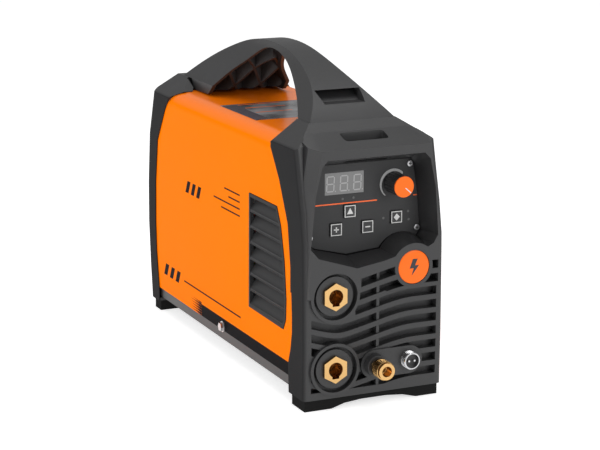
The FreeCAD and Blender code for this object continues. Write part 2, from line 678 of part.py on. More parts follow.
def handle_shape():
    profile = handle_profile()
    profile.translate(V(-60, 0, 0))
    arch = profile.extrude(V(120, 0, 0))
    shape = arch.common(handle_bell(0.0))
    inner, start, end = handle_outer_points(4.0)
    below = TOP - 30
    edges = [
        inner.toShape(),
        Part.LineSegment(end, V(0, end.y, below)).toShape(),
        Part.LineSegment(V(0, end.y, below), V(0, start.y, below)).toShape(),
        Part.LineSegment(V(0, start.y, below), start).toShape(),
    ]
    hollow = Part.Face(Part.Wire(edges))
    hollow.translate(V(-60, 0, 0))
    cavity = hollow.extrude(V(120, 0, 0)).common(handle_bell(3.6))
    shell = shape.cut(cavity)
    ribs = []
    for turn in (-38, 38):
        for step in range(-2, 4):
            rib = Part.makeBox(2.2, 130, 90, V(-1.1 + step * 21, -65, -45))
            rib.rotate(V(), V(0, 0, 1), turn)
            rib.translate(V(0, FRONT_Y + 292.0, TOP + 8))
            ribs.append(rib)
    web = ribs[0].fuse(ribs[1:])
    room = profile.extrude(V(120, 0, 0))
    room.translate(V(0, 5.0, 1.5))
    lattice = web.common(arch).common(room).common(cavity)
    lattice = lattice.common(Part.makeBox(200, 120, 200, V(-100, FRONT_Y + 240.0, TOP - 40)))
    shell = shell.fuse(lattice)
    for side in (-1, 1):
        for place_y in (HANDLE_FRONT, HANDLE_REAR):
            foot = V(side * HANDLE_SCREW_SIDE, FRONT_Y + place_y, TOP)
            boss = Part.makeCylinder(4.2, 20, foot).common(shape)
            shell = shell.fuse(boss).cut(Part.makeCylinder(S["screw_radius"] + FIT, 3.6, foot))
    low, high = TOP + 12.0, TOP + 22.0
    liner = prism_y([(-25.0, low - 3.0), (25.0, low - 3.0), (25.0, high + 3.0), (-25.0, high + 3.0)], 30, 90)
    shell = shell.fuse(liner.common(handle_band(9.0)).common(shape))
    pocket = prism_y([(-19.0, low), (19.0, low), (21.5, high), (-21.5, high)], 30, 90)
    return shell.cut(pocket.common(handle_band(7.0))).removeSplitter()


def handle_band(depth):
    """The outer skin of the arch down to a depth."""
    outer, start, end = handle_outer_points(0.0)
    inner, low_start, low_end = handle_outer_points(depth)
    edges = [outer.toShape(), Part.LineSegment(end, low_end).toShape(), inner.toShape(),
             Part.LineSegment(low_start, start).toShape()]
    face = Part.Face(Part.Wire(Part.__sortEdges__(edges)))
    face.translate(V(-60, 0, 0))
    return face.extrude(V(120, 0, 0))


# ---------------------------------------------------------------- chassis and feet
def front_at(text):
    return "%s + %s" % (FRONT, text)


def tray():
    """Folded steel tray: floor, screw tabs under both panels and side flanges behind the cover."""
    half = "( case_width / 2 - cover_inset - sheet_thick - slide_gap )"
    floor = block("TrayFloor", ("-1 * " + half, front_at("26"), "tray_floor"),
                  ("2 * " + half, "case_length - 52", "tray_thick"))
    tab = block("TrayTabs", ("-58", front_at("9"), "tray_floor"), ("116", "case_length - 23", "tray_thick"))
    walls = []
    for name, at in (("Left", "-1 * " + half), ("Right", half + " - tray_thick")):
        walls.append(block("TrayFlange" + name, (at, front_at("26"), "tray_floor"),
                           ("tray_thick", "case_length - 52", "tray_flange")))
    holes = []
    for index, (x, d, z) in enumerate(cover_screw_places()):
        start = "-90" if x < 0 else "40"
        holes.append(rod("TrayScrewHole%d" % index, (start, front_at(str(d)), str(z)),
                         "screw_radius + fit_gap", "50", "x"))
    for side in (-1, 1):
        for d in (FRONT_SCREW, REAR_SCREW):
            holes.append(rod("TrayFootHole%d" % len(holes), (str(side * FOOT_SCREW_SIDE), front_at(str(d)), "10"),
                             "screw_radius + fit_gap", "12", "z"))
    return cut("Tray", fuse("TrayBody", [floor, tab] + walls), holes)


def foot(name, length, start, screw):
    """A rubber foot strip with a shallow arch between its two bearing ends."""
    outline = [("-foot_width / 2", "0"), ("-38", "0"), ("-26", "foot_arch * 0.7"), ("-10", "foot_arch"),
               ("14", "foot_arch"), ("30", "foot_arch * 0.7"), ("43", "0"), ("foot_width / 2", "0"),
               ("foot_width / 2", "panel_base"), ("-foot_width / 2", "panel_base")]
    outline = [(a.replace("-foot_width", "-1 * foot_width"), b) for a, b in outline]
    strip = padded(name + "Strip", "XZ_Plane", outline, length, ("0", front_at(start), "0"))
    holes = []
    for side in (-1, 1):
        x = str(side * FOOT_SCREW_SIDE)
        holes.append(rod("%sHole%d" % (name, side + 1), (x, front_at(str(screw)), "-1"),
                         "screw_radius + 0.1", "panel_base + 2", "z"))
        holes.append(rod("%sSink%d" % (name, side + 1), (x, front_at(str(screw)), "-1"),
                         "screw_radius + 2.2", "6", "z"))
    return cut(name, strip, holes)


def vertical_screws(name, places, low, head, length):
    """Pan-head screws standing on their heads, one at each place."""
    solids = []
    for index, (x, d) in enumerate(places):
        cap = rod("%sHead%d" % (name, index), (str(x), front_at(str(d)), low), "screw_radius + 1.8", head, "z")
        shank = rod("%sShank%d" % (name, index), (str(x), front_at(str(d)), low + " + " + head),
                    "screw_radius", length, "z")
        solids.append(fuse("%s%d" % (name, index), [cap, shank]))
    return group(name, solids)


# ---------------------------------------------------------------- controls
BUTTONS = [("up_button", -13.7, 167.1), ("plus_button", -26.5, 152.1), ("minus_button", 3.1, 152.1),
           ("mode_button", 30.7, 157.9)]


def control_plate_shape():
    start = S["recess_depth"]
    middle = TOP - 64.0
    outline = [(x * 0.99, middle + (z - middle) * 0.99) for x, z in recess_outline(True)]
    plate = prism_y(outline, start, start + S["plate_thick"])
    holes = [tube_y(S["knob_side"], S["knob_height"], S["shaft_radius"] + 0.5, start - 1, start + 9)]
    low = S["display_middle"] - S["display_height"] / 2
    high = low + S["display_height"]
    holes.append(prism_y([(-S["display_width"], low), (0.0, low), (0.0, high), (-S["display_width"], high)],
                         start - 1, start + 9))
    half = S["button_size"] / 2 + S["slide_gap"]
    for _, x, z in BUTTONS:
        holes.append(prism_y([(x - half, z - half), (x + half, z - half), (x + half, z + half),
                              (x - half, z + half)], start - 1, start + 9))
    for x, z in plate_screw_places():
        holes.append(tube_y(x, z, S["plate_screw"] + 0.1, start - 1, start + 9))
    return plate.cut(holes[0].fuse(holes[1:]))


def button(name, x, z):
    """A square key cap with a retaining flange behind the plate and a stem to its switch."""
    cap = block(name + "Cap", ("%s - button_size / 2" % x, front_at("recess_depth - button_proud"),
                               "%s - button_size / 2" % z),
                ("button_size", "button_proud + plate_thick + slide_gap", "button_size"))
    flange = block(name + "Flange", ("%s - button_size / 2 - 1.2" % x, front_at("recess_depth + plate_thick + slide_gap"),
                                     "%s - button_size / 2 - 1.2" % z),
                   ("button_size + 2.4", "1", "button_size + 2.4"))
    stem = rod(name + "Stem", (str(x), front_at("recess_depth + plate_thick + slide_gap + 1"), str(z)),
               "2.5", "9 - slide_gap - 1 - button_travel")
    return fuse(name, [cap, flange, stem])


def control_board():
    """Circuit board with the four key switches on it."""
    face = "recess_depth + plate_thick + 10"
    board = block("ControlBoardPlate", ("-46", front_at(face), "146"), ("92", "1.6", "60"))
    switches = [rod("KeySwitch%d" % index, (str(x), front_at(face + " - 1"), str(z)), "3", "1")
                for index, (_, x, z) in enumerate(BUTTONS)]
    return fuse("ControlBoard", [board] + switches)


def knob_parts():
    side, height = "knob_side", "knob_height"
    back = "recess_depth - 0.8"
    body = rod("KnobBody", (side, front_at(back + " - knob_length + 1.5"), height), "knob_radius", "knob_length - 1.5")
    bore = rod("KnobBore", (side, front_at(back + " - 14"), height), "shaft_radius + fit_gap", "20")
    ridges = [rod("KnobGroove%d" % step, ("knob_side + ( knob_radius + 0.35 ) * %.5f" % math.cos(step * math.pi / 9),
                                          front_at(back + " - knob_length + 3.5"),
                                          "knob_height + ( knob_radius + 0.35 ) * %.5f" % math.sin(step * math.pi / 9)),
                  "0.9", "knob_length") for step in range(18)]
    keep(cut("Knob", body, [bore] + ridges), "knob")
    keep(rod("KnobCap", (side, front_at(back + " - knob_length"), height), "knob_radius - 0.2", "1.5"), "knob_cap")
    keep(rod("Shaft", (side, front_at(back + " - 13"), height), "shaft_radius", "22"), "control_shaft")
    can = rod("PotCan", (side, front_at("recess_depth + plate_thick + 0.1"), height), "8", "9.8")
    hole = rod("PotBore", (side, front_at("recess_depth"), height), "shaft_radius + fit_gap", "9")
    keep(cut("Potentiometer", can, [hole]), "potentiometer")


def y_screws(name, places, start, head, length, radius):
    """Screws pushed in from the front, or from the rear when the head is negative."""
    solids = []
    for index, (x, z) in enumerate(places):
        cap_at = start + (" - %s" % head)
        cap = rod("%sHead%d" % (name, index), (str(x), front_at(cap_at), str(z)), radius + " * 1.9", head)
        shank = rod("%sShank%d" % (name, index), (str(x), front_at(start), str(z)), radius, length)
        solids.append(fuse("%s%d" % (name, index), [cap, shank]))
    return group(name, solids)


# ---------------------------------------------------------------- outlets on the front
def socket_parts(prefix, height):
    """Twist-lock cable socket: insulating body and brass insert with its rear stud."""
    side = "-1 * socket_side"
    name = prefix.capitalize()
    flange = rod(name + "Flange", (side, front_at("0"), height), "socket_radius", "4")
    hub = rod(name + "Hub", (side, front_at("4"), height), "socket_hub", "10")
    bore = rod(name + "Seat", (side, front_at("-4"), height), "9 + fit_gap", "30")
    keep(cut(name + "Body", fuse(name + "Insulator", [flange, hub]), [bore]), prefix + "_socket_body")
    outline = []
    for step in range(6):
        angle = math.pi / 2 + step * math.pi / 3
        outline.append(("hex_across * %.6f" % (math.cos(angle) / math.sqrt(3)),
                        "hex_across * %.6f" % (math.sin(angle) / math.sqrt(3))))
    head = padded(name + "Hex", "XZ_Plane", outline, "3", (side, front_at("-1.5"), height))
    barrel = rod(name + "Barrel", (side, front_at("0"), height), "9", "20")
    stud = rod(name + "Stud", (side, front_at("20"), height), "4", "16")
    hole = rod(name + "Hole", (side, front_at("-4"), height), "cable_bore / 2", "21.5")
    key = block(name + "Key", ("-1 * socket_side - 3.2", front_at("-4"), height + " - cable_bore / 2 - 1.5"),
                ("6.4", "15.5", "4"))
    turned = rod(name + "KeyRound", (side, front_at("10"), height), "cable_bore / 2 + 1.2", "5")
    brass = cut(name + "Insert", fuse(name + "Brass", [head, barrel, stud]), [hole, key, turned])
    keep(brass, prefix + "_socket_insert")


def bus_bar(name, height, rise, run):
    """Copper strap from a socket stud up and back to the power stage."""
    low = block(name + "Riser", ("-1 * socket_side - 7", front_at("21"), height + " - 8"), ("14", "2", rise))
    back = block(name + "Run", ("-1 * socket_side - 7", front_at("21"), height + " - 10 + " + rise),
                 ("14", run, "2"))
    hole = rod(name + "Hole", ("-1 * socket_side", front_at("18"), height), "4 + fit_gap", "9")
    return cut(name, fuse(name + "Strap", [low, back]), [hole])


def coupler_parts():
    """Gas quick coupler: collar, body, sliding sleeve and valve poppet."""
    side, height = "-1 * coupler_side", "outlet_height"
    collar = rod("CollarRing", (side, front_at("-9"), height), "9.5", "7.5")
    collar_hole = rod("CollarHole", (side, front_at("-10"), height), "6 + fit_gap", "12")
    keep(cut("Collar", collar, [collar_hole]), "coupler_collar")
    tip = rod("CouplerTip", (side, front_at("-1 * coupler_reach"), height), "7.4", "1.5")
    neck = rod("CouplerNeck", (side, front_at("-1 * coupler_reach + 1.5"), height), "5.5", "coupler_reach - 10.5")
    thread = rod("CouplerThread", (side, front_at("-9"), height), "6", "29")
    mouth = rod("CouplerMouth", (side, front_at("-1 * coupler_reach - 1"), height), "coupler_bore / 2", "11")
    chamber = rod("CouplerChamber", (side, front_at("-20"), height), "3.8", "13")
    passage = rod("CouplerPassage", (side, front_at("-20"), height), "2", "60")
    keep(cut("CouplerBody", fuse("CouplerBrass", [tip, neck, thread]), [mouth, chamber, passage]), "gas_coupler_body")
    ring = rod("SleeveRing", (side, front_at("-1 * coupler_reach + 2.5"), height), "sleeve_radius",
               "coupler_reach - 12 - sleeve_travel")
    ring_hole = rod("SleeveHole", (side, front_at("-30"), height), "5.5 + fit_gap", "40")
    grooves = []
    for step in range(3):
        at = front_at("-1 * coupler_reach + %.1f" % (4.3 + 2.6 * step))
        outer = rod("GrooveOuter%d" % step, (side, at, height), "sleeve_radius + 2", "0.9")
        core = rod("GrooveCore%d" % step, (side, at, height), "sleeve_radius - 0.7", "0.9")
        grooves.append(cut("Groove%d" % step, outer, [core]))
    keep(cut("Sleeve", ring, [ring_hole] + grooves), "gas_coupler_sleeve")
    disc = rod("PoppetDisc", (side, front_at("-15.5"), height), "3.4", "2")
    stem = rod("PoppetStem", (side, front_at("-13.5"), height), "1.2", "8")
    keep(fuse("Poppet", [disc, stem]), "gas_coupler_poppet")


def connector_parts():
    """Two-pin control connector: threaded shell, insulating insert and pins."""
    side, height = "connector_side", "outlet_height"
    shell = rod("ConnectorTube", (side, front_at("-8"), height), "connector_radius", "22")
    hollow = rod("ConnectorHollow", (side, front_at("-9"), height), "connector_radius - 1.5", "30")
    keep(cut("ConnectorShell", shell, [hollow]), "connector_shell")
    core = rod("InsertCore", (side, front_at("-4"), height), "connector_radius - 1.5 - fit_gap", "16")
    pins = []
    pin_holes = []
    for step in (-1, 1):
        x = "connector_side + %s" % (step * 2.6)
        pin_holes.append(rod("PinHole%d" % (step + 1), (x, front_at("-5"), height), "0.9 + fit_gap", "20"))
        pins.append(rod("Pin%d" % (step + 1), (x, front_at("-7"), height), "0.9", "24"))
    keep(cut("ConnectorInsert", core, pin_holes), "connector_insert")
    keep(group("ConnectorPins", pins), "connector_pins")


# ---------------------------------------------------------------- power stage inside
TRAY_TOP = "tray_floor + tray_thick"


def heat_sink(name, side):
    """Finned block that stands on the tray under the power modules."""
    low = "4" if side > 0 else "-52"
    base = block(name + "Base", (low, front_at("105"), TRAY_TOP + " + 55.5"), ("48", "150", "6"))
    fins = []
    for step in range(8):
        fins.append(block("%sFin%d" % (name, step), ("%s + %s" % (low, step * 6.5714 - 0.0), front_at("105"), TRAY_TOP),
                          ("2", "150", "55.5")))
    return fuse(name, [base] + fins)


def boards_and_modules():
    modules = []
    for index, (x, d) in enumerate(((-38, 125), (-38, 195), (18, 125), (18, 195))):
        modules.append(block("Module%d" % index, (str(x), front_at(str(d)), TRAY_TOP + " + 61.5"), ("20", "34", "5")))
    keep(group("Modules", modules), "power_modules")
    board = block("MainBoardPlate", ("-54", front_at("88"), TRAY_TOP + " + 66.5"), ("108", "202", "1.6"))
    holes = []
    posts = []
    for x in (-46, 46):
        for d in (95, 264):
            holes.append(rod("BoardHole%d" % len(holes), (str(x), front_at(str(d)), "70"), "1.6", "30", "z"))
            posts.append(rod("Post%d" % len(posts), (str(x), front_at(str(d)), TRAY_TOP), "3", "66.5", "z"))
    keep(cut("MainBoard", board, holes), "main_board")
    keep(group("Posts", posts + SPACERS), "board_posts")
    cans = [rod("Can%d" % index, (str(x), front_at("250"), TRAY_TOP + " + 68.1"), "12", "42", "z")
            for index, x in enumerate((-40, -13, 14, 41))]
    keep(group("Capacitors", cans), "storage_capacitors")


def transformer_parts():
    low = TRAY_TOP + " + 68.1"
    core = block("CoreBlock", ("-30", front_at("140"), low), ("60", "30", "52"))
    windows = [block("CoreWindow%d" % index, (x, front_at("139"), low + " + 9"), ("14", "32", "34"))
               for index, x in enumerate(("-22", "8"))]
    keep(cut("Core", core, windows), "transformer_core")
    coil = block("CoilBlock", ("-21.5", front_at("127"), low + " + 10"), ("43", "56", "32"))
    leg = block("CoilLeg", ("-8.5", front_at("139.5"), low + " + 5"), ("17", "31", "50"))
    keep(cut("Winding", coil, [leg]), "transformer_winding")
    ring = doc.addObject("Part::Torus", "ChokeRing")
    ring.Radius1 = 20
    ring.Radius2 = 9
    place(ring, ("22", front_at("68"), TRAY_TOP + " + 9"))
    keep(ring, "output_choke")
    keep(block("Ignition", ("-56", front_at("50"), TRAY_TOP), ("30", "28", "32")), "ignition_coil")


# ---------------------------------------------------------------- fan and rear fittings
REAR_WALL = "case_length - rear_recess"
REAR_INNER = "case_length - rear_recess - panel_wall"


def fan_parts():
    """Axial fan: square frame with struts and a fixed pin, bladed rotor and wire guard."""
    size, depth = S["fan_size"], S["fan_depth"]
    rear = LENGTH - S["rear_recess"] - WALL
    front = rear - depth
    height = S["fan_height"]
    half = size / 2
    square = [(-half, height - half), (half, height - half), (half, height + half), (-half, height + half)]
    frame = prism_y(square, front, rear).cut(tube_y(0, height, half - 2.5, front - 1, rear + 1))
    for turn in range(4):
        strut = Part.makeBox(half - 4, 3, 4, V(4, FRONT_Y + rear - 3, height - 2))
        strut.rotate(V(0, 0, height), V(0, 1, 0), 45 + 90 * turn)
        frame = frame.fuse(strut)
    frame = frame.fuse(tube_y(0, height, 18, rear - 3, rear)).fuse(tube_y(0, height, 2.0, front + 4, rear))
    for x in (-41.25, 41.25):
        for z in (height - 41.25, height + 41.25):
            frame = frame.cut(tube_y(x, z, 2.1, front - 1, rear + 1))
    keep(formed("FanFrame", frame.removeSplitter()), "fan_frame")
    rotor = tube_y(0, height, 19, front + 2, rear - 4)
    for turn in range(7):
        blade = Part.makeBox(half - 2.5 - 2 - 12, 1.8, 24, V(12, -0.9, -12))
        blade.rotate(V(), V(1, 0, 0), 52)
        blade.translate(V(0, FRONT_Y + (front + rear) / 2 - 1, height))
        blade.rotate(V(0, 0, height), V(0, 1, 0), 360 / 7 * turn)
        rotor = rotor.fuse(blade)
    rotor = rotor.common(tube_y(0, height, half - 4.0, front + 1, rear - 3.6))
    rotor = rotor.cut(tube_y(0, height, 2.0 + FIT, front - 5, rear + 5))
    keep(formed("FanRotor", rotor.removeSplitter()), "fan_rotor")
    wall = LENGTH - S["rear_recess"]
    guard = tube_y(0, height, 11, wall + 1.4, wall + 3.0)
    for radius in (18.0, 25.0, 32.0, 39.0, 45.5):
        ring = Part.makeTorus(radius, 0.9, V(0, FRONT_Y + wall + 1.8, height), V(0, 1, 0))
        guard = guard.fuse(ring)
    for turn in range(4):
        spoke = Part.makeBox(49.5, 1.6, 2.4, V(9, FRONT_Y + wall, height - 1.2))
        spoke.rotate(V(0, 0, height), V(0, 1, 0), 45 + 90 * turn)
        guard = guard.fuse(spoke)
    for x in (-41.25, 41.25):
        for z in (height - 41.25, height + 41.25):
            guard = guard.fuse(tube_y(x, z, 4.4, wall, wall + 1.6))
    for x in (-41.25, 41.25):
        for z in (height - 41.25, height + 41.25):
            guard = guard.cut(tube_y(x, z, 2.1, wall - 1, wall + 5))
    keep(formed("FanGuard", guard.removeSplitter()), "fan_guard")
    solids = []
    for x in (-41.25, 41.25):
        for z in (height - 41.25, height + 41.25):
            shank = tube_y(x, z, S["screw_radius"], rear - 20, wall + 1.6)
            solids.append(shank.fuse(tube_y(x, z, 3.6, wall + 1.6, wall + 3.8)))
    keep(formed("FanScrews", Part.Compound(solids)), "fan_screws")


SWITCH_SIDE = -33.0
SWITCH_HEIGHT = 46.0
ROCKER_TILT = 8.0


def switch_parts():
    """Rear power switch: snap-in body and a rocker on two short trunnions."""
    wall = LENGTH - S["rear_recess"]
    box = prism_y(rectangle(SWITCH_SIDE, SWITCH_HEIGHT, 28.0, 21.0), wall - 24, wall)
    body = box.fuse(prism_y(rectangle(SWITCH_SIDE, SWITCH_HEIGHT, 32.0, 25.0), wall, wall + 1.8))
    body = body.cut(prism_y(rectangle(SWITCH_SIDE, SWITCH_HEIGHT, 22.4, 18.6), wall - 12, wall + 3))
    pivot = V(SWITCH_SIDE - 12.6, FRONT_Y + wall - 3.0, SWITCH_HEIGHT)
    body = body.cut(Part.makeCylinder(1.5 + FIT, 25.2, pivot, V(1, 0, 0)))
    keep(formed("SwitchBody", body), "power_switch_body")
    low = V(SWITCH_SIDE - 11.0, pivot.y, SWITCH_HEIGHT)
    rocker = Part.makeCylinder(8.9, 22.0, low, V(1, 0, 0))
    lean = math.tan(math.radians(ROCKER_TILT))
    centre = wall - 3.0
    shape = [(centre - 2.0, SWITCH_HEIGHT - 9), (centre - 2.0, SWITCH_HEIGHT + 9),
             (centre + 4.6 + 9 * lean, SWITCH_HEIGHT + 9), (centre + 4.6, SWITCH_HEIGHT),
             (centre + 4.6 + 9 * lean, SWITCH_HEIGHT - 9)]
    rocker = rocker.common(prism_x(shape, SWITCH_SIDE - 11, SWITCH_SIDE + 11))
    rocker = rocker.fuse(Part.makeCylinder(1.5, 24.6, V(SWITCH_SIDE - 12.3, pivot.y, pivot.z), V(1, 0, 0)))
    rocker.rotate(pivot, V(1, 0, 0), -ROCKER_TILT)
    keep(formed("Rocker", rocker), "power_switch_rocker")


def rectangle(x, z, width, height):
    return [(x - width / 2, z - height / 2), (x + width / 2, z - height / 2), (x + width / 2, z + height / 2),
            (x - width / 2, z + height / 2)]


GLAND_SIDE = "4"
INLET_SIDE = "34"
REAR_FITTING_HEIGHT = "46"


def hexagon(across):
    points = []
    for step in range(6):
        angle = step * math.pi / 3
        points.append(("%s * %.6f" % (across, math.cos(angle) / math.sqrt(3)),
                       "%s * %.6f" % (across, math.sin(angle) / math.sqrt(3))))
    return points


def rear_fittings():
    side, height = GLAND_SIDE, REAR_FITTING_HEIGHT
    nut = padded("GlandHex", "XZ_Plane", hexagon("22"), "5", (side, front_at(REAR_WALL + " + 2.5"), height))
    thread = rod("GlandThread", (side, front_at(REAR_WALL + " - 13"), height), "gland_radius", "13")
    dome = rod("GlandDome", (side, front_at(REAR_WALL + " + 5"), height), "9.5", "12")
    hole = rod("GlandBore", (side, front_at(REAR_WALL + " - 20"), height), "gland_bore", "50")
    keep(cut("Gland", fuse("GlandBody", [nut, thread, dome]), [hole]), "cable_gland")
    ring = padded("GlandNutHex", "XZ_Plane", hexagon("23"), "4", (side, front_at(REAR_INNER + " - 2"), height))
    ring_hole = rod("GlandNutHole", (side, front_at(REAR_WALL + " - 20"), height), "gland_radius + fit_gap", "50")
    nuts = [cut("GlandNut", ring, [ring_hole])]
    side = INLET_SIDE
    nut = padded("InletHex", "XZ_Plane", hexagon("14"), "4", (side, front_at(REAR_WALL + " + 2"), height))
    thread = rod("InletThread", (side, front_at(REAR_WALL + " - 14"), height), "5", "14")
    barb = rod("InletBarb", (side, front_at(REAR_WALL + " + 4"), height), "4", "rear_recess + rear_reach - 4")
    hole = rod("InletBore", (side, front_at(REAR_WALL + " - 20"), height), "inlet_bore", "60")
    rings = []
    for step in range(3):
        cone = doc.addObject("Part::Cone", "InletRing%d" % step)
        cone.Radius1 = 5.0
        cone.Radius2 = 4.0
        cone.Height = 3.5
        rings.append(place(cone, (side, front_at(REAR_WALL + " + rear_recess + rear_reach - %s" % (12 - 4 * step)), height),
                           "y"))
    keep(cut("Inlet", fuse("InletBody", [nut, thread, barb] + rings), [hole]), "gas_inlet")
    ring = padded("InletNutHex", "XZ_Plane", hexagon("14"), "4", (side, front_at(REAR_INNER + " - 2"), height))
    ring_hole = rod("InletNutHole", (side, front_at(REAR_WALL + " - 20"), height), "5 + fit_gap", "50")
    nuts.append(cut("InletNut", ring, [ring_hole]))
    bolt = rod("EarthBolt", ("22", front_at(REAR_INNER + " - 3"), "30"), "3", "15")
    head = padded("EarthHead", "XZ_Plane", hexagon("10"), "4", ("22", front_at(REAR_INNER + " - 5"), "30"))
    keep(fuse("Earth", [bolt, head]), "earth_stud")
    ring = padded("EarthNutHex", "XZ_Plane", hexagon("10"), "4", ("22", front_at(REAR_WALL + " + 2"), "30"))
    ring_hole = rod("EarthNutHole", ("22", front_at(REAR_WALL + " - 9"), "30"), "3 + fit_gap", "30")
    nuts.append(cut("EarthNut", ring, [ring_hole]))
    keep(group("RearNuts", nuts), "rear_nuts")


def valve_parts():
    """Gas solenoid valve under the fan: body, coil and plunger."""
    back = "case_length - 36"
    body = block("ValveBlock", ("24", front_at(back + " - 28"), "36"), ("20", "28", "20"))
    well = rod("ValveWell", ("34", front_at(back + " - 14"), "42"), "4 + fit_gap", "20", "z")
    port = rod("ValvePort", ("34", front_at(back + " - 30"), REAR_FITTING_HEIGHT), "inlet_bore", "60")
    keep(cut("ValveBody", body, [well, port]), "gas_valve_body")
    coil = block("CoilBox", ("23", front_at(back + " - 25"), "56"), ("22", "22", "24"))
    bore = rod("CoilBore", ("34", front_at(back + " - 14"), "50"), "4 + fit_gap", "24", "z")
    keep(cut("ValveCoil", coil, [bore]), "gas_valve_coil")
    keep(rod("Plunger", ("34", front_at(back + " - 14"), "43"), "4", "26", "z"), "gas_valve_plunger")


def hose(name, points, radius, bore):
    """Gas hose: straight runs joined by tangent arcs."""
    path = [V(x, FRONT_Y + d, z) for x, d, z in points]
    edges = []
    start = path[0]
    for before, corner, after in zip(path, path[1:], path[2:]):
        into = (corner - before).normalize()
        out = (after - corner).normalize()
        trim = 0.45 * min((corner - before).Length, (after - corner).Length)
        first = corner - into * trim
        last = corner + out * trim
        half_turn = math.acos(max(-1.0, min(1.0, into.dot(out)))) / 2
        bisector = (out - into).normalize()
        arc_radius = trim / math.tan(half_turn)
        centre = corner + bisector * (arc_radius / math.cos(half_turn))
        middle = centre - bisector * arc_radius
        edges.append(Part.LineSegment(start, first).toShape())
        edges.append(Part.Arc(first, middle, last).toShape())
        start = last
    edges.append(Part.LineSegment(start, path[-1]).toShape())
    wire = Part.Wire(edges)
    heading = (path[1] - path[0]).normalize()
    outer = wire.makePipeShell([Part.Wire(Part.makeCircle(radius, path[0], heading))], True, False)
    inner = wire.makePipeShell([Part.Wire(Part.makeCircle(bore, path[0], heading))], True, False)
    return outer.cut(inner)


def hoses():
    valve_front = LENGTH - 64.0
    valve_back = LENGTH - 36.0
    supply = hose("Supply", [(34.0, valve_front, 46.0), (34.0, valve_front - 18, 46.0), (57.3, valve_front - 44, 46.0),
                             (57.0, 186.0, 46.3), (57.3, 95.0, 46.0), (41.0, 64.0, 45.0), (11.0, 50.0, 41.0),
                             (-S["coupler_side"], 38.0, S["outlet_height"]),
                             (-S["coupler_side"], 20.0, S["outlet_height"])], 4.0, 2.0)
    feed = tube_y(34.0, 46.0, 4.0, valve_back, LENGTH - S["rear_recess"] - 14)
    feed = feed.cut(tube_y(34.0, 46.0, 2.0, valve_back - 1, LENGTH))
    keep(formed("Hoses", Part.Compound([supply, feed])), "gas_hoses")


def cover_screws():
    """Hexagon-head screws with washers that hold the cover to the tray flanges."""
    solids = []
    outer = COVER_HALF
    for x, d, z in cover_screw_places():
        side = 1 if x > 0 else -1
        at = V(side * outer, FRONT_Y + d, z)
        washer = Part.makeCylinder(5.2, 1.0, at, V(side, 0, 0))
        points = [V(side * (outer + 1.0), at.y + 4.1 * math.cos(k * math.pi / 3), z + 4.1 * math.sin(k * math.pi / 3))
                  for k in range(6)]
        head = Part.Face(Part.makePolygon(points + [points[0]])).extrude(V(side * 2.6, 0, 0))
        shank = Part.makeCylinder(S["screw_radius"], 10.0, at, V(-side, 0, 0))
        solids.append(washer.fuse(head).fuse(shank))
    return formed("CoverScrews", Part.Compound(solids))


# ---------------------------------------------------------------- assembly
keep(formed("FrontPanel", front_panel_shape()), "front_panel")
keep(formed("GrilleFilter", grille_filter_shape()), "grille_filter")
keep(formed("RearPanel", rear_panel_shape()), "rear_panel")
keep(formed("Cover", cover_shape()), "outer_cover")
keep(formed("LeftVent", vent_shape(-1)), "left_vent_grille")
keep(formed("RightVent", vent_shape(1)), "right_vent_grille")
keep(formed("Handle", handle_shape()), "carry_handle")
keep(tray(), "base_tray")
keep(foot("FrontFoot", "front_foot_length", "4 + front_foot_length / 2", FRONT_SCREW), "front_foot")
keep(foot("RearFoot", "rear_foot_length", "case_length - 32 + rear_foot_length / 2", REAR_SCREW), "rear_foot")
FOOT_SCREWS = [(side * FOOT_SCREW_SIDE, d) for d in (FRONT_SCREW, REAR_SCREW) for side in (-1, 1)]
foot_set = vertical_screws("FootScrews", FOOT_SCREWS, "2.6", "2.4", "15")
HANDLE_SCREWS = [(side * HANDLE_SCREW_SIDE, d) for d in (HANDLE_FRONT, HANDLE_REAR) for side in (-1, 1)]
handle_set = vertical_screws("HandleScrews", HANDLE_SCREWS, "case_top - 7", "2", "8.4")
keep(group("CaseScrews", [foot_set, handle_set]), "case_screws")
keep(cover_screws(), "cover_screws")
keep(formed("ControlPlate", control_plate_shape()), "control_plate")
keep(y_screws("PlateScrews", plate_screw_places(), "recess_depth", "1", "5", "plate_screw"), "plate_screws")
keep(block("Display", ("-1 * display_width + 0.1", front_at("recess_depth + 0.3"),
                       "display_middle - display_height / 2 + 0.1"),
           ("display_width - 0.2", "9.6", "display_height - 0.2")), "display_module")
for label, place_x, place_z in BUTTONS:
    keep(button(label.title().replace("_", ""), place_x, place_z), label)
keep(control_board(), "control_board")
SPACERS = [rod("Spacer%d" % index, (str(x), front_at("recess_depth + plate_thick + panel_wall"), str(z)), "2.2", "7")
           for index, (x, z) in enumerate(((-42.5, 199), (42.5, 198), (-42.5, 153), (42.5, 153)))]
knob_parts()
keep(rod("Badge", ("badge_side", front_at("-3.2"), "badge_height"), "badge_radius", "3.7"), "badge_disc")
for prefix, _ in SOCKETS:
    socket_parts(prefix, prefix + "_socket_height")
BARS = [bus_bar("UpperBar", "upper_socket_height", "28", "80"), bus_bar("LowerBar", "lower_socket_height", "30", "30")]
keep(group("BusBars", BARS), "bus_bars")
coupler_parts()
connector_parts()
keep(group("Sinks", [heat_sink("LeftSink", -1), heat_sink("RightSink", 1)]), "heat_sinks")
boards_and_modules()
transformer_parts()
fan_parts()
switch_parts()
rear_fittings()
valve_parts()
hoses()

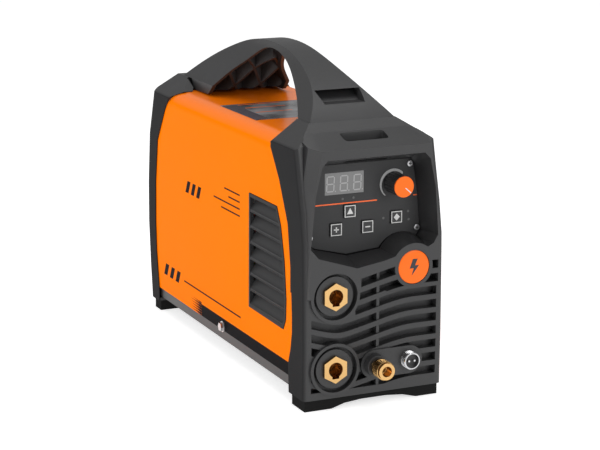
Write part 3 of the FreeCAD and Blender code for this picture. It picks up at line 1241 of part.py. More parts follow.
# ---------------------------------------------------------------- checks and files
doc.recompute()
for obj in doc.Objects:
    if "Invalid" in obj.State or "Error" in obj.State:
        raise RuntimeError("%s failed: %s" % (obj.Label, obj.State))
os.makedirs("parts", exist_ok=True)
for obj in PARTS:
    if obj.Shape.isNull() or not obj.Shape.isValid() or not obj.Shape.Solids:
        raise RuntimeError("%s has no sound shape" % obj.Label)
for obj in PARTS:
    obj.Shape.exportStep("parts/%s.step" % obj.Label)
    print("%-22s solids %2d  volume %9.0f" % (obj.Label, len(obj.Shape.Solids), obj.Shape.Volume))
print("sub-parts", len(PARTS))
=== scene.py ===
import json
import math

import bpy
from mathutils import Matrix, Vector

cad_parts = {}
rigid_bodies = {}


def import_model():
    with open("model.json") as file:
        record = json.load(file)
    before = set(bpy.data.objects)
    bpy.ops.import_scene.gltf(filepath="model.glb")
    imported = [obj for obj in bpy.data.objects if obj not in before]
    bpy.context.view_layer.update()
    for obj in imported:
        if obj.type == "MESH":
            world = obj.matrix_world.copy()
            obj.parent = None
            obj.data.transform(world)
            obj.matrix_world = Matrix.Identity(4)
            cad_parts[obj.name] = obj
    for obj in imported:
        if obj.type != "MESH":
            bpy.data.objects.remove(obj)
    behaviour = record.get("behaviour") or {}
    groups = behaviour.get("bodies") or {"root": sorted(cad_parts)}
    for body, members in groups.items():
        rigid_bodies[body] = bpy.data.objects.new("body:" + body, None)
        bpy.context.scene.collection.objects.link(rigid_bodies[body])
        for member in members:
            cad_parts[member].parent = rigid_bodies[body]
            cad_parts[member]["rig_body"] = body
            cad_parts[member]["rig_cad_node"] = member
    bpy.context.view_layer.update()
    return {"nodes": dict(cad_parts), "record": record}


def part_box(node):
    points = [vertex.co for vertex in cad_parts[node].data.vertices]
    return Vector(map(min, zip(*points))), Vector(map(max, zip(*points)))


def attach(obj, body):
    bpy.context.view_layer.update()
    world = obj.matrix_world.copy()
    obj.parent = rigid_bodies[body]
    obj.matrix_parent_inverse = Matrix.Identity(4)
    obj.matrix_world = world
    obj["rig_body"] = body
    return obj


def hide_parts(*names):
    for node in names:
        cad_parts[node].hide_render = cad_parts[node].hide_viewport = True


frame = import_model()
nodes = frame["nodes"]

# sizes and places are in metres; the ones that read better in millimetres are multiplied by MM
MM = 0.001
FRONT_FACE = -0.186
FACING_FRONT = (math.pi / 2, 0, 0)


# ---------------------------------------------------------------- shader nodes
def feed(tree, socket, given):
    """Set an input: another node's socket is linked, a colour or a number becomes the value."""
    if isinstance(given, bpy.types.NodeSocket):
        tree.links.new(given, socket)
    elif isinstance(given, tuple):
        socket.default_value = (*given, 1.0)
    else:
        socket.default_value = given


def add_node(tree, kind, given, **settings):
    """A node with its settings made and its inputs fed."""
    node = tree.nodes.new(kind)
    for key, value in settings.items():
        setattr(node, key, value)
    for label, amount in given.items():
        feed(tree, node.inputs[label], amount)
    return node


def sums(tree, how, a, b=0.0):
    return add_node(tree, "ShaderNodeMath", {0: a, 1: b}, operation=how).outputs["Value"]


def noise(tree, place, scale, detail, rough=0.5):
    given = {"Vector": place, "Scale": scale, "Detail": detail, "Roughness": rough}
    return add_node(tree, "ShaderNodeTexNoise", given).outputs["Fac"]


def ramp(tree, value, start, end, low=0.0, high=1.0):
    """Carry start to end over to low to high, and stay there beyond them."""
    given = {"Value": value, "From Min": start, "From Max": end, "To Min": low, "To Max": high}
    return add_node(tree, "ShaderNodeMapRange", given).outputs["Result"]


def blend_colours(tree, mask, under, over):
    """The colour under where the mask is 0, and the colour over where it is 1."""
    node = add_node(tree, "ShaderNodeMix", {"Factor": mask}, data_type="RGBA")
    for label, colour in (("A", under), ("B", over)):
        feed(tree, next(s for s in node.inputs if s.name == label and s.type == "RGBA"), colour)
    return next(s for s in node.outputs if s.type == "RGBA")


def within(tree, value, low, high, soft=0.00012):
    """1 where a coordinate lies between two places, with a narrow soft edge."""
    rise = ramp(tree, value, low - soft, low + soft)
    fall = ramp(tree, value, high - soft, high + soft)
    return sums(tree, "MULTIPLY", rise, sums(tree, "SUBTRACT", 1.0, fall))


def combine(tree, how, masks):
    result = masks[0]
    for mask in masks[1:]:
        result = sums(tree, how, result, mask)
    return result


def all_of(tree, masks):
    return combine(tree, "MULTIPLY", masks)


def any_of(tree, masks):
    return combine(tree, "MAXIMUM", masks)


def object_place(tree):
    """Object coordinates, whole and as x, y and z."""
    place = tree.nodes.new("ShaderNodeTexCoord").outputs["Object"]
    return place, add_node(tree, "ShaderNodeSeparateXYZ", {"Vector": place}).outputs


# ---------------------------------------------------------------- the shared grain
def new_group(name, inputs, outputs):
    """A shader node group with its sockets, its input and its output node."""
    tree = bpy.data.node_groups.new(name, "ShaderNodeTree")
    for label, kind, value in inputs:
        socket = tree.interface.new_socket(label, in_out="INPUT", socket_type=kind)
        socket.default_value = value
    for label, kind in outputs:
        tree.interface.new_socket(label, in_out="OUTPUT", socket_type=kind)
    return tree, tree.nodes.new("NodeGroupInput"), tree.nodes.new("NodeGroupOutput")


def grain_group():
    """Fine moulding or paint grain: a colour that drifts a little, a roughness and a height."""
    tree, given, made = new_group(
        "surface_grain",
        [("Vector", "NodeSocketVector", (0, 0, 0)), ("Colour", "NodeSocketColor", (0.5, 0.5, 0.5, 1)),
         ("Drift", "NodeSocketFloat", 0.1), ("Rough", "NodeSocketFloat", 0.4),
         ("Fine scale", "NodeSocketFloat", 900.0)],
        [("Colour", "NodeSocketColor"), ("Roughness", "NodeSocketFloat"), ("Height", "NodeSocketFloat")])
    place, drift, rough = given.outputs["Vector"], given.outputs["Drift"], given.outputs["Rough"]
    shade = ramp(tree, noise(tree, place, 14.0, 2.0), 0.0, 1.0,
                 sums(tree, "SUBTRACT", 1.0, drift), sums(tree, "ADD", 1.0, drift))
    tint = add_node(tree, "ShaderNodeVectorMath", {0: given.outputs["Colour"], "Scale": shade},
                    operation="SCALE")
    worn = ramp(tree, noise(tree, place, 60.0, 4.0, 0.6), 0.0, 1.0,
                sums(tree, "MULTIPLY", rough, 0.88), sums(tree, "MULTIPLY", rough, 1.14))
    feed(tree, made.inputs["Colour"], tint.outputs["Vector"])
    feed(tree, made.inputs["Roughness"], worn)
    feed(tree, made.inputs["Height"], noise(tree, place, given.outputs["Fine scale"], 2.0))
    return tree


GRAIN = grain_group()


# ---------------------------------------------------------------- finishes
def finish(name, colour, rough, metal=0.0, fine=900.0, bump=0.03, drift=0.08, coat=0.0, specular=0.5):
    """A material with the shared grain; its colour and sheen are this finish's own."""
    mat = bpy.data.materials.new(name)
    mat.use_nodes = True
    tree = mat.node_tree
    shader = tree.nodes["Principled BSDF"]
    place = tree.nodes.new("ShaderNodeTexCoord").outputs["Object"]
    given = {"Vector": place, "Colour": colour, "Drift": drift, "Rough": rough, "Fine scale": fine}
    grain = add_node(tree, "ShaderNodeGroup", given, name="grain", node_tree=GRAIN)
    given = {"Strength": bump, "Distance": 0.0005, "Height": grain.outputs["Height"]}
    relief = add_node(tree, "ShaderNodeBump", given)
    given = {"Base Color": grain.outputs["Colour"], "Roughness": grain.outputs["Roughness"],
             "Normal": relief.outputs["Normal"], "Metallic": metal, "Specular IOR Level": specular,
             "Coat Weight": coat, "Coat Roughness": 0.08}
    for label, amount in given.items():
        feed(tree, shader.inputs[label], amount)
    return mat


def sheen_by_place(mat, axis, start, end):
    """Specular level that changes along one object axis; start and end are each a place and a level."""
    tree = mat.node_tree
    axes = object_place(tree)[1]
    level = ramp(tree, sums(tree, "ABSOLUTE", axes[axis]), start[0], end[0], start[1], end[1])
    feed(tree, tree.nodes["Principled BSDF"].inputs["Specular IOR Level"], level)


FINISHES = {
    "dark_plastic": finish("charcoal_moulding", (0.027, 0.027, 0.028), 0.42, bump=0.10, fine=1400.0,
                           specular=0.22),
    "black_steel": finish("black_coated_steel", (0.016, 0.016, 0.017), 0.40, bump=0.05),
    "rubber": finish("black_rubber", (0.014, 0.014, 0.014), 0.62, bump=0.12, specular=0.01),
    "bright_steel": finish("zinc_steel", (0.55, 0.55, 0.56), 0.28, metal=1.0),
    "panel_film": finish("panel_film", (0.036, 0.036, 0.037), 0.5, bump=0.12, fine=2200.0, specular=0.25),
    "display_window": finish("display_window", (0.17, 0.17, 0.17), 0.3, coat=0.2, bump=0.0),
    "key_plastic": finish("key_film", (0.031, 0.031, 0.032), 0.45, bump=0.05, specular=0.4),
    "orange_plastic": finish("orange_plastic", (0.95, 0.150, 0.008), 0.33, bump=0.02, specular=0.2),
    "brass": finish("turned_brass", (0.60, 0.37, 0.15), 0.2, metal=1.0, bump=0.02),
    "chrome": finish("polished_chrome", (0.50, 0.50, 0.51), 0.14, metal=1.0, bump=0.0),
    "board_green": finish("solder_mask_green", (0.02, 0.16, 0.06), 0.35, coat=0.2),
    "module_black": finish("moulded_epoxy", (0.022, 0.022, 0.023), 0.5, bump=0.12),
    "aluminium": finish("extruded_aluminium", (0.74, 0.74, 0.75), 0.34, metal=1.0),
    "copper": finish("copper_bar", (0.72, 0.36, 0.20), 0.3, metal=1.0),
    "ferrite": finish("sintered_ferrite", (0.09, 0.09, 0.095), 0.6, bump=0.2),
}

# the faces towards the front and the top shine, and the tall sides hardly do
FACE_SHEEN = 0.45
SIDE_SHEEN = 0.004
sheen_by_place(FINISHES["dark_plastic"], "X", (0.0630, FACE_SHEEN), (0.0654, SIDE_SHEEN))

# ---------------------------------------------------------------- cover paint and its prints
COVER_SIDE = 0.0644
COVER_TOP = 0.2298
COVER_INK = (0.010, 0.010, 0.011)


def side_print(tree, place, x, behind, z):
    """Mask of the prints on both sides, placed in millimetres behind the front face and above the floor."""
    def mark(start, end, low, high, lean=0.0):
        rise = sums(tree, "SUBTRACT", z, (low + high) / 2 * MM)
        along = sums(tree, "ADD", behind, sums(tree, "MULTIPLY", rise, lean))
        return all_of(tree, [within(tree, along, start * MM, end * MM), within(tree, z, low * MM, high * MM)])

    # the lower band breaks up into dots towards the rear
    cells = add_node(tree, "ShaderNodeTexVoronoi", {"Vector": place, "Scale": 420.0, "Randomness": 0.0})
    dot_size = ramp(tree, behind, 0.232, 0.275, 0.75, 0.0)
    dots = sums(tree, "LESS_THAN", cells.outputs["Distance"], dot_size)
    marks = [mark(0, 238, 24, 36.2), all_of(tree, [mark(238, 275, 24, 38), dots])]
    # four bars, two rows of slanted bars and a long thin rule
    bars = ((160.6, 178), (154.2, 168), (147.8, 204), (141.4, 186))
    marks += [mark(141, end, low, low + 1.5) for low, end in bars]
    marks += [mark(start, start + 8, 138, 150, lean=0.5) for start in (238, 252, 266)]
    marks += [mark(start, start + 9, 42, 54, lean=0.5) for start in (296, 312, 328)]
    marks.append(mark(141, 284, 47.2, 48.8))
    on_side = sums(tree, "GREATER_THAN", sums(tree, "ABSOLUTE", x), COVER_SIDE)
    return all_of(tree, [on_side, any_of(tree, marks)])


def top_label(tree, place, x, behind, z, colour):
    """The colour with a smoky label laid over it on top: a dark edge, a streaked field, a tab and stripes."""
    on_top = sums(tree, "GREATER_THAN", z, COVER_TOP)

    def mark(left, right, start, end):
        inside = [within(tree, x, left * MM, right * MM), within(tree, behind, start * MM, end * MM)]
        return all_of(tree, [on_top, *inside])

    smoke = ramp(tree, noise(tree, place, 26.0, 3.0), 0.38, 0.62)
    field = blend_colours(tree, smoke, (0.06, 0.06, 0.065), (0.30, 0.30, 0.31))
    colour = blend_colours(tree, mark(-54, 44, 132, 218), colour, (0.012, 0.012, 0.014))
    colour = blend_colours(tree, mark(-53, 43, 133, 217), colour, field)
    colour = blend_colours(tree, mark(-52, -38, 136, 214), colour, (0.10, 0.09, 0.105))
    stripes = [mark(-36, right, start, start + 2.2) for start, right in ((169, 0), (194, 4), (212, 6))]
    return blend_colours(tree, any_of(tree, stripes), colour, (0.95, 0.17, 0.01))


def cover_paint():
    """Orange powder coat with the prints on its sides and the label on its top."""
    mat = finish("orange_powder_coat", (1.0, 0.200, 0.0), 0.24, bump=0.04, fine=700.0, drift=0.015,
                 specular=0.06)
    tree = mat.node_tree
    place, (x, y, z) = object_place(tree)
    behind = sums(tree, "SUBTRACT", y, FRONT_FACE)
    painted = tree.nodes["grain"].outputs["Colour"]
    printed = blend_colours(tree, side_print(tree, place, x, behind, z), painted, COVER_INK)
    labelled = top_label(tree, place, x, behind, z, printed)
    feed(tree, tree.nodes["Principled BSDF"].inputs["Base Color"], labelled)
    sheen_by_place(mat, "Z", (0.2200, SIDE_SHEEN), (0.2295, FACE_SHEEN))
    return mat


def shade_bores(mat):
    """Brass is painted darker from near the front face to 60 mm in, which takes in the socket bores: painted
    shade inside the bores.
    """
    tree = mat.node_tree
    axes = object_place(tree)[1]
    behind = sums(tree, "SUBTRACT", axes["Y"], FRONT_FACE)
    mask = within(tree, behind, -0.0018, 0.060, 0.0006)
    # painted shade: a dark brown laid over the brass inside the bores
    colour = blend_colours(tree, mask, tree.nodes["grain"].outputs["Colour"], (0.36, 0.21, 0.08))
    feed(tree, tree.nodes["Principled BSDF"].inputs["Base Color"], colour)


def ink(name, colour, rough=0.45):
    return finish(name, colour, rough, bump=0.0, drift=0.02)


FINISHES["orange_paint"] = cover_paint()
shade_bores(FINISHES["brass"])
PRINT_WHITE = ink("print_white", (0.62, 0.62, 0.61))
PRINT_GREY = ink("print_grey", (0.36, 0.36, 0.36))
PRINT_ORANGE = ink("print_orange", (0.95, 0.13, 0.012), 0.4)
PRINT_BLACK = ink("print_black", (0.012, 0.014, 0.02), 0.35)
LED_GREY = finish("unlit_lamp", (0.075, 0.075, 0.075), 0.3, bump=0.0)

SLOT_OF = {row["node"]: row["material_slot"] for row in frame["record"]["subparts"]}
for name, node in nodes.items():
    node.data.materials.clear()
    node.data.materials.append(FINISHES[SLOT_OF[name]])


# ---------------------------------------------------------------- modelling helpers
def deselect():
    if bpy.context.object and bpy.context.object.mode != "OBJECT":
        bpy.ops.object.mode_set(mode="OBJECT")
    bpy.ops.object.select_all(action="DESELECT")


def take_up(obj):
    deselect()
    obj.select_set(True)
    bpy.context.view_layer.objects.active = obj


def enter_edit():
    bpy.ops.object.mode_set(mode="EDIT")


def edit_all():
    """Enter edit mode with everything selected."""
    enter_edit()
    bpy.ops.mesh.select_all(action="SELECT")


def leave_edit():
    bpy.ops.object.mode_set(mode="OBJECT")


def apply_place():
    """Write the active object's place, turn and scale into its mesh."""
    bpy.ops.object.transform_apply(location=True, rotation=True, scale=True)


def apply_modifier(obj, kind, **settings):
    modifier = obj.modifiers.new(kind.lower(), kind)
    for key, value in settings.items():
        setattr(modifier, key, value)
    take_up(obj)
    bpy.ops.object.modifier_apply(modifier=modifier.name)


def smooth(obj, degrees=30.0):
    take_up(obj)
    bpy.ops.object.shade_smooth_by_angle(angle=math.radians(degrees))


def settle(obj, name, body, material, replaces=()):
    """Give a finished piece its name, finish and body, with its place in its mesh."""
    take_up(obj)
    apply_place()
    obj.name = name
    obj.data.name = name
    obj.data.materials.clear()
    obj.data.materials.append(material)
    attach(obj, body)
    if replaces:
        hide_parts(*replaces)


def join(objects):
    take_up(objects[0])
    for obj in objects[1:]:
        obj.select_set(True)
    bpy.ops.object.join()
    return bpy.context.object


def middle(low, high):
    """The centre of a box, as x, y and z."""
    return [(a + b) / 2 for a, b in zip(low, high)]


def block(centre, size):
    """A cube brought to a size."""
    deselect()
    bpy.ops.mesh.primitive_cube_add(size=1.0, location=centre)
    obj = bpy.context.object
    obj.scale = size
    apply_place()
    return obj


def front_cylinder(centre, radius, depth, corners):
    """A cylinder whose ends face the front and the back."""
    deselect()
    bpy.ops.mesh.primitive_cylinder_add(vertices=corners, radius=radius, depth=depth, location=centre,
                                        rotation=FACING_FRONT)
    apply_place()
    return bpy.context.object


def select_faces(obj, wanted):
    """Enter edit mode with only the faces selected that pass a test."""
    enter_edit()
    bpy.ops.mesh.select_all(action="DESELECT")
    leave_edit()
    for face in obj.data.polygons:
        face.select = wanted(face)
    enter_edit()


def draw_out(thick):
    """Draw the flat mesh in edit mode out towards the front into a closed piece, and leave edit mode."""
    bpy.ops.mesh.select_all(action="SELECT")
    bpy.ops.mesh.extrude_region_move(TRANSFORM_OT_translate={"value": (0, -thick, 0)})
    bpy.ops.mesh.select_all(action="SELECT")
    bpy.ops.mesh.normals_make_consistent(inside=False)
    leave_edit()


# ---------------------------------------------------------------- softened CAD pieces
# a pressed key stops this far short of its switch
SWITCH_GAP = 0.00006


def softened(node_name, width):
    """A copy of a moulded or machined CAD piece with its sharp edges rounded; it stands for the CAD piece."""
    source = nodes[node_name]
    obj = source.copy()
    obj.data = source.data.copy()
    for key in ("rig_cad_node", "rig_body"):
        if key in obj:
            del obj[key]
    obj.parent = None
    bpy.context.scene.collection.objects.link(obj)
    take_up(obj)
    edit_all()
    bpy.ops.mesh.remove_doubles(threshold=0.000004)
    bpy.ops.mesh.dissolve_limited(angle_limit=math.radians(0.8))
    leave_edit()
    apply_modifier(obj, "BEVEL", width=width, segments=2, limit_method="ANGLE",
                   angle_limit=math.radians(20.0), use_clamp_overlap=True, miter_outer="MITER_ARC")
    apply_modifier(obj, "TRIANGULATE", keep_custom_normals=False)
    smooth(obj, 35.0)
    apply_modifier(obj, "WEIGHTED_NORMAL", weight=60, keep_sharp=True)
    if node_name.endswith("_button"):
        back = max(vertex.co.y for vertex in obj.data.vertices)
        for vertex in obj.data.vertices:
            if vertex.co.y > back - 0.00002:
                vertex.co.y -= SWITCH_GAP
    slot = SLOT_OF[node_name]
    settle(obj, node_name + "_finished", source["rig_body"], FINISHES[slot], (node_name,))


# the vent grilles keep their CAD mesh, because rounding loses their thin blades
SOFTENED = {
    "front_panel": 0.0007, "rear_panel": 0.0007, "carry_handle": 0.0008, "outer_cover": 0.0003,
    "front_foot": 0.0006, "rear_foot": 0.0006,
    "upper_socket_body": 0.0006, "lower_socket_body": 0.0006,
    "upper_socket_insert": 0.0007, "lower_socket_insert": 0.0007,
    "control_plate": 0.0003, "knob": 0.0003, "knob_cap": 0.0004,
    "gas_coupler_body": 0.0004, "coupler_collar": 0.0005, "cable_gland": 0.0004, "gas_inlet": 0.0003,
    "power_switch_body": 0.0004, "power_switch_rocker": 0.0004, "cover_screws": 0.0003,
    "up_button": 0.0003, "plus_button": 0.0003, "minus_button": 0.0003, "mode_button": 0.0003,
}
for node_name, width in SOFTENED.items():
    softened(node_name, width)

# ---------------------------------------------------------------- flat prints
# thicknesses of the prints on the plate, and of those on the keys and the display
PLATE_PRINT = 0.00016
KEY_PRINT = 0.00012


def ease_edges(obj, thick):
    """A one-step bevel round a print, as a share of its thickness."""
    apply_modifier(obj, "BEVEL", width=thick * 0.4, segments=1, limit_method="ANGLE")


def flat_tile(at, size, thick=PLATE_PRINT):
    """A thin raised tile facing the front; its back lies on the given place."""
    x, y, z = at
    obj = block((x, y - thick / 2, z), (size[0], thick, size[1]))
    ease_edges(obj, thick)
    return obj


def flat_disc(at, radius, thick=PLATE_PRINT, corners=24):
    """A thin raised disc facing the front; its back lies on the given place."""
    x, y, z = at
    obj = front_cylinder((x, y - thick / 2, z), radius, thick, corners)
    ease_edges(obj, thick)
    return obj


def flat_outline(at, points, thick):
    """A thin tile with any outline: a circle primitive whose corners are moved and then drawn out."""
    deselect()
    x, y, z = at
    bpy.ops.mesh.primitive_circle_add(vertices=len(points), radius=0.001, fill_type="NGON")
    obj = bpy.context.object
    for vertex, (dx, dz) in zip(obj.data.vertices, points):
        vertex.co = (x + dx, y, z + dz)
    enter_edit()
    draw_out(thick)
    return obj


# ---------------------------------------------------------------- control plate
PLATE_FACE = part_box("control_plate")[0].y
rule = flat_tile((-0.0165, PLATE_FACE, 0.1742), (0.058, 0.0011))
tick = flat_tile((0.0490, PLATE_FACE, 0.1755), (0.0036, 0.0009))
settle(join([rule, tick]), "orange_rule", "case", PRINT_ORANGE)

# painted shade: dark sheets behind the joint between the plate and the recess stand in for the shade there,
# so the bright inside does not show through the joint; they keep clear of the keys and the shaft
JOINT_SHADE_DEPTH = 0.0026
JOINT_SHADE_THICK = 0.0004
JOINT_SHADE_SHEETS = ((-23, 130.5, 70, 25), (35.5, 136.5, 51, 25), (57, 165, 10, 82), (1, 207.5, 122, 9),
          (-55, 165, 10, 94))
joint_shade_sheets = [flat_tile((x * MM, PLATE_FACE + JOINT_SHADE_DEPTH, z * MM), (wide * MM, high * MM), JOINT_SHADE_THICK)
          for x, z, wide, high in JOINT_SHADE_SHEETS]
settle(join(joint_shade_sheets), "plate_joint_shade", "case", FINISHES["rubber"])

LAMPS = ((-20.0, 178.0), (-9.9, 178.3), (18.6, 157.8), (42.4, 161.8), (43.0, 154.5))
lamps = [flat_disc((x * MM, PLATE_FACE, z * MM), 0.0011) for x, z in LAMPS]
settle(join(lamps), "plate_lamps", "case", LED_GREY)


SCALE_CENTRE = Vector((0.0279, PLATE_FACE, 0.1873))
SCALE_SHIFT = Vector((0.0004, 0, -0.0010))
SCALE_START = 44
SCALE_END = 232


def on_scale(face):
    offset = face.center - SCALE_CENTRE
    return SCALE_START < math.degrees(math.atan2(offset.z, offset.x)) % 360 < SCALE_END


def scale_crescent():
    """The widening scale mark round the knob: two circles bridged, and open at the bottom and the right."""
    deselect()
    circles = []
    for radius, place in ((0.0129, SCALE_CENTRE), (0.0116, SCALE_CENTRE + SCALE_SHIFT)):
        bpy.ops.mesh.primitive_circle_add(vertices=72, radius=radius, location=place, rotation=FACING_FRONT)
        circles.append(bpy.context.object)
    ring = join(circles)
    apply_place()
    edit_all()
    bpy.ops.mesh.bridge_edge_loops()
    leave_edit()
    select_faces(ring, lambda face: not on_scale(face))
    bpy.ops.mesh.delete(type="FACE")
    draw_out(PLATE_PRINT)
    return ring


settle(scale_crescent(), "knob_scale", "case", PRINT_GREY)


def screw_head(at, radius, tall):
    """Cross-recess pan head facing the front: a rounded cylinder with two bars cut out of it."""
    x, y, z = at
    head = front_cylinder((x, y - tall / 2, z), radius, tall, 32)
    apply_modifier(head, "BEVEL", width=tall * 0.45, segments=3, limit_method="ANGLE")
    for wide, high in ((radius * 1.15, radius * 0.28), (radius * 0.28, radius * 1.15)):
        cutter = block((x, y - tall, z), (wide, tall, high))
        apply_modifier(head, "BOOLEAN", operation="DIFFERENCE", object=cutter, solver="EXACT")
        bpy.data.objects.remove(cutter, do_unlink=True)
    smooth(head)
    return head


# each visual head is a little wider and taller than the CAD head that it covers
SCREW_PLACES = ((43.4, 203.5), (50.8, 146.8))
HEAD_WIDER = 0.0001
HEAD_TALLER = 0.00015
screws_low, screws_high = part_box("plate_screws")
head_radius = screws_high.x - SCREW_PLACES[1][0] * MM + HEAD_WIDER
head_tall = PLATE_FACE - screws_low.y + HEAD_TALLER
heads = [screw_head((side * x * MM, PLATE_FACE, z * MM), head_radius, head_tall)
         for side in (-1, 1) for x, z in SCREW_PLACES]
settle(join(heads), "plate_screw_heads", "case", FINISHES["bright_steel"])

# ---------------------------------------------------------------- display
SEGMENT = 0.00105
SEGMENT_GAP = 0.0005
DIGIT_WIDE = 0.0066
DIGIT_HIGH = 0.0128
DIGIT_LEAN = 0.045


def bar(centre, length, upright):
    """One display segment with pointed ends."""
    half, tip = length / 2, SEGMENT / 2
    outline = [(-half, 0), (-half + tip, tip), (half - tip, tip),
               (half, 0), (half - tip, -tip), (-half + tip, -tip)]
    if upright:
        outline = [(dz, dx) for dx, dz in reversed(outline)]
    return flat_outline(centre, outline, KEY_PRINT)


def digit(place):
    """Seven segments and a point, leaning a little."""
    x, y, z = place
    wide, high = DIGIT_WIDE / 2, DIGIT_HIGH / 2
    parts = [bar((x, y, z + step * high), DIGIT_WIDE - SEGMENT_GAP, False) for step in (-1, 0, 1)]
    parts += [bar((x + side * wide, y, z + step * high / 2), high - SEGMENT_GAP, True)
              for side in (-1, 1) for step in (-1, 1)]
    parts.append(flat_disc((x + wide + 0.0016, y, z - high), 0.0006, KEY_PRINT, 12))
    joined = join(parts)
    for vertex in joined.data.vertices:
        vertex.co.x += (vertex.co.z - z) * DIGIT_LEAN
    return joined


display_low, display_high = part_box("display_module")
display_z = middle(display_low, display_high)[2]
digits = [digit((x * MM, display_low.y, display_z)) for x in (-31.3, -18.7, -6.1)]
settle(join(digits), "display_digits", "case", PRINT_GREY)

# ---------------------------------------------------------------- key prints
KEY_FRAME = 0.0102
KEY_LINE = 0.0007
ICON_LONG = 0.0046
ICON_THIN = 0.0011


def key_frame(at):
    """A square outline: a plane inset and its middle removed."""
    deselect()
    bpy.ops.mesh.primitive_plane_add(size=KEY_FRAME, location=at, rotation=FACING_FRONT)
    obj = bpy.context.object
    apply_place()
    edit_all()
    bpy.ops.mesh.inset(thickness=KEY_LINE, depth=0)
    bpy.ops.mesh.delete(type="FACE")
    draw_out(KEY_PRINT)
    return obj


def key_print(key, icon_pieces):
    """The white print on a key: its square outline and its icon, made at the middle of its face."""
    low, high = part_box(key + "_button")
    x, _, z = middle(low, high)
    at = (x, low.y, z)
    settle(join([key_frame(at), *icon_pieces(at)]), key + "_button_print", key + "_key", PRINT_WHITE)


def minus_icon(at):
    return [flat_tile(at, (ICON_LONG, ICON_THIN), KEY_PRINT)]


def plus_icon(at):
    return minus_icon(at) + [flat_tile(at, (ICON_THIN, ICON_LONG), KEY_PRINT)]


def up_icon(at):
    return [flat_outline(at, [(-0.0029, -0.0024), (0.0029, -0.0024), (0, 0.0030)], KEY_PRINT)]


def mode_icon(at):
    return [flat_outline(at, [(-0.0029, 0), (0, -0.0031), (0.0029, 0), (0, 0.0031)], KEY_PRINT)]


for key, icon in (("up", up_icon), ("plus", plus_icon), ("minus", minus_icon), ("mode", mode_icon)):
    key_print(key, icon)

# ---------------------------------------------------------------- knob pointer
POINTER_TURN = -42
POINTER_OUT = 0.0051
POINTER_SIZE = (0.0072, 0.00085)
POINTER_THICK = 0.00015
cap_low, cap_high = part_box("knob_cap")
cap_x, _, cap_z = middle(cap_low, cap_high)
pointer = flat_tile((cap_x + POINTER_OUT, cap_low.y, cap_z), POINTER_SIZE, POINTER_THICK)
take_up(pointer)
edit_all()
bpy.ops.transform.rotate(value=math.radians(POINTER_TURN), orient_axis="Y",
                         center_override=(cap_x, cap_low.y, cap_z))
leave_edit()
settle(pointer, "knob_pointer", "control_knob", PRINT_WHITE)

# ---------------------------------------------------------------- badge
DOME_RISE = 0.0012
DOME_STEPS = 9
BOLT_SIZE = 0.0072
BOLT_THICK = 0.0001
badge_low, badge_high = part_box("badge_disc")
badge_x, badge_y, badge_z = middle(badge_low, badge_high)


def badge_dome():
    """Domed round badge: a cylinder with its front face inset and drawn out in steps."""
    radius = (badge_high.x - badge_low.x) / 2
    depth = badge_high.y - badge_low.y
    obj = front_cylinder((badge_x, badge_y + DOME_RISE / 2, badge_z), radius, depth - DOME_RISE, 96)
    select_faces(obj, lambda face: face.normal.y < -0.9)
    bpy.ops.mesh.inset(thickness=0.0004, depth=0.0003)
    for step in range(DOME_STEPS):
        bpy.ops.mesh.inset(thickness=radius * 0.1, depth=0.00017 * (1 - step / (DOME_STEPS + 0.5)))
    leave_edit()
    smooth(obj, 40)
    return obj


settle(badge_dome(), "badge_dome", "case", FINISHES["orange_plastic"], ("badge_disc",))
BOLT = ((-0.2, 1.0), (-0.62, -0.12), (-0.1, -0.12), (-0.34, -1.0), (0.62, 0.22), (0.1, 0.22), (0.42, 1.0))
bolt_outline = [(dx * BOLT_SIZE, dz * BOLT_SIZE) for dx, dz in BOLT]
bolt = flat_outline((badge_x, badge_low.y + BOLT_THICK, badge_z), bolt_outline, BOLT_THICK)
settle(bolt, "badge_bolt", "case", PRINT_BLACK)


# ---------------------------------------------------------------- turned and threaded pieces
def turned(profile, axis_x, axis_z):
    """Spin an outline of (place along the axis, radius) about a front-to-back axis."""
    deselect()
    bpy.ops.mesh.primitive_circle_add(vertices=len(profile), radius=0.001)
    obj = bpy.context.object
    for vertex, (along, radius) in zip(obj.data.vertices, profile):
        vertex.co = (axis_x + radius, along, axis_z)
    edit_all()
    bpy.ops.mesh.spin(steps=72, angle=2 * math.pi, center=(axis_x, 0, axis_z), axis=(0, 1, 0))
    bpy.ops.mesh.select_all(action="SELECT")
    bpy.ops.mesh.remove_doubles(threshold=0.000005)
    bpy.ops.mesh.normals_make_consistent(inside=False)
    leave_edit()
    smooth(obj)
    return obj


def connector_profile(front, back, radius):
    """Shell with eight ring-shaped ridges, which stand for its thread, behind its front edge."""
    bore, neck, crest, root = radius - 0.0015, radius - 0.0002, radius - 0.0001, radius - 0.0007
    profile = [(front, bore), (front, radius - 0.0006), (front + 0.0005, neck)]
    for ridge in range(8):
        start = front + 0.0006 + ridge * 0.001
        profile += [(start, crest), (start + 0.0003, crest), (start + 0.0005, root), (start + 0.0008, root)]
    return profile + [(front + 0.0088, neck), (back, neck), (back, bore)]


def sleeve_profile(front, back, radius):
    """Sliding sleeve with three grip grooves; its bore clears the coupler."""
    bore, groove = 0.00556, radius - 0.0007
    profile = [(front, bore), (front, radius - 0.0005), (front + 0.0005, radius)]
    for ring in range(3):
        start = front + 0.0018 + ring * 0.0026
        profile += [(start, radius), (start + 0.0002, groove),
                    (start + 0.0008, groove), (start + 0.001, radius)]
    return profile + [(back - 0.0004, radius), (back, radius - 0.0004), (back, bore)]


def turned_like(node_name, outline):
    """A turned piece on the axis of a CAD node, as long and as wide as the node."""
    low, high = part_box(node_name)
    x, _, z = middle(low, high)
    return turned(outline(low.y, high.y, (high.x - low.x) / 2), x, z)


settle(turned_like("connector_shell", connector_profile), "connector_thread", "case", FINISHES["chrome"],
       ("connector_shell",))
settle(turned_like("gas_coupler_sleeve", sleeve_profile), "coupler_sleeve_turned", "coupler_sleeve",
       FINISHES["brass"], ("gas_coupler_sleeve",))

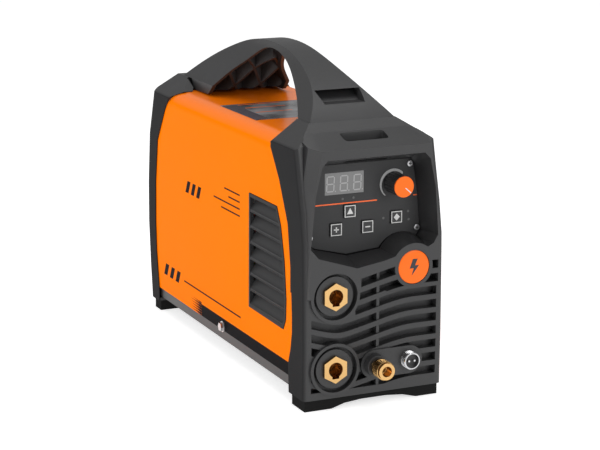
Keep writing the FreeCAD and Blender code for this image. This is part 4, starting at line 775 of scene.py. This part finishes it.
# ---------------------------------------------------------------- studio
WHITE = (1, 1, 1, 1)
FLOOR_GLOW = 0.66
WORLD_LIGHT = 0.40
CAMERA_PLACE = (-0.6889, -1.5510, 0.5166)
CAMERA_TARGET = (0.0154, 0.0011, 0.1167)
CAMERA_LENS = 112.05

deselect()
bpy.ops.mesh.primitive_plane_add(size=12.0, location=(0, 0, 0))
floor = bpy.context.object
floor.name = "studio_floor"
floor_paint = finish("pale_floor", (0.80, 0.80, 0.80), 0.7, drift=0.0, bump=0.0, specular=0.1)
glow = floor_paint.node_tree.nodes["Principled BSDF"]
glow.inputs["Emission Color"].default_value = WHITE
glow.inputs["Emission Strength"].default_value = FLOOR_GLOW
floor.data.materials.append(floor_paint)

world = bpy.data.worlds.new("studio")
bpy.context.scene.world = world
world.use_nodes = True
background = world.node_tree.nodes["Background"]
background.inputs["Color"].default_value = WHITE
background.inputs["Strength"].default_value = WORLD_LIGHT


def place_facing(name, data, place, target):
    """Put a light or a camera in the scene, looking at a target."""
    obj = bpy.data.objects.new(name, data)
    bpy.context.scene.collection.objects.link(obj)
    obj.location = place
    obj.rotation_euler = (Vector(target) - Vector(place)).to_track_quat("-Z", "Y").to_euler()
    return obj


def soft_box(name, place, target, size, watts):
    light = bpy.data.lights.new(name, "AREA")
    light.shape = "RECTANGLE"
    light.size, light.size_y = size
    light.energy = watts
    place_facing(name, light, place, target)


soft_box("left_softbox", (-1.6, -0.2, 0.9), (0, 0, 0.12), (1.2, 1.4), 10)
soft_box("top_softbox", (0.1, 0.1, 1.9), (0, 0, 0.1), (1.6, 1.4), 15)
soft_box("front_softbox", (0.7, -1.8, 0.8), (0, -0.1, 0.12), (0.9, 0.9), 11)

camera_data = bpy.data.cameras.new("main_view")
camera_data.sensor_width = 36.0
camera_data.lens = CAMERA_LENS
bpy.context.scene.camera = place_facing("main_view", camera_data, CAMERA_PLACE, CAMERA_TARGET)
bpy.context.scene.view_settings.view_transform = "Standard"

bpy.context.view_layer.update()
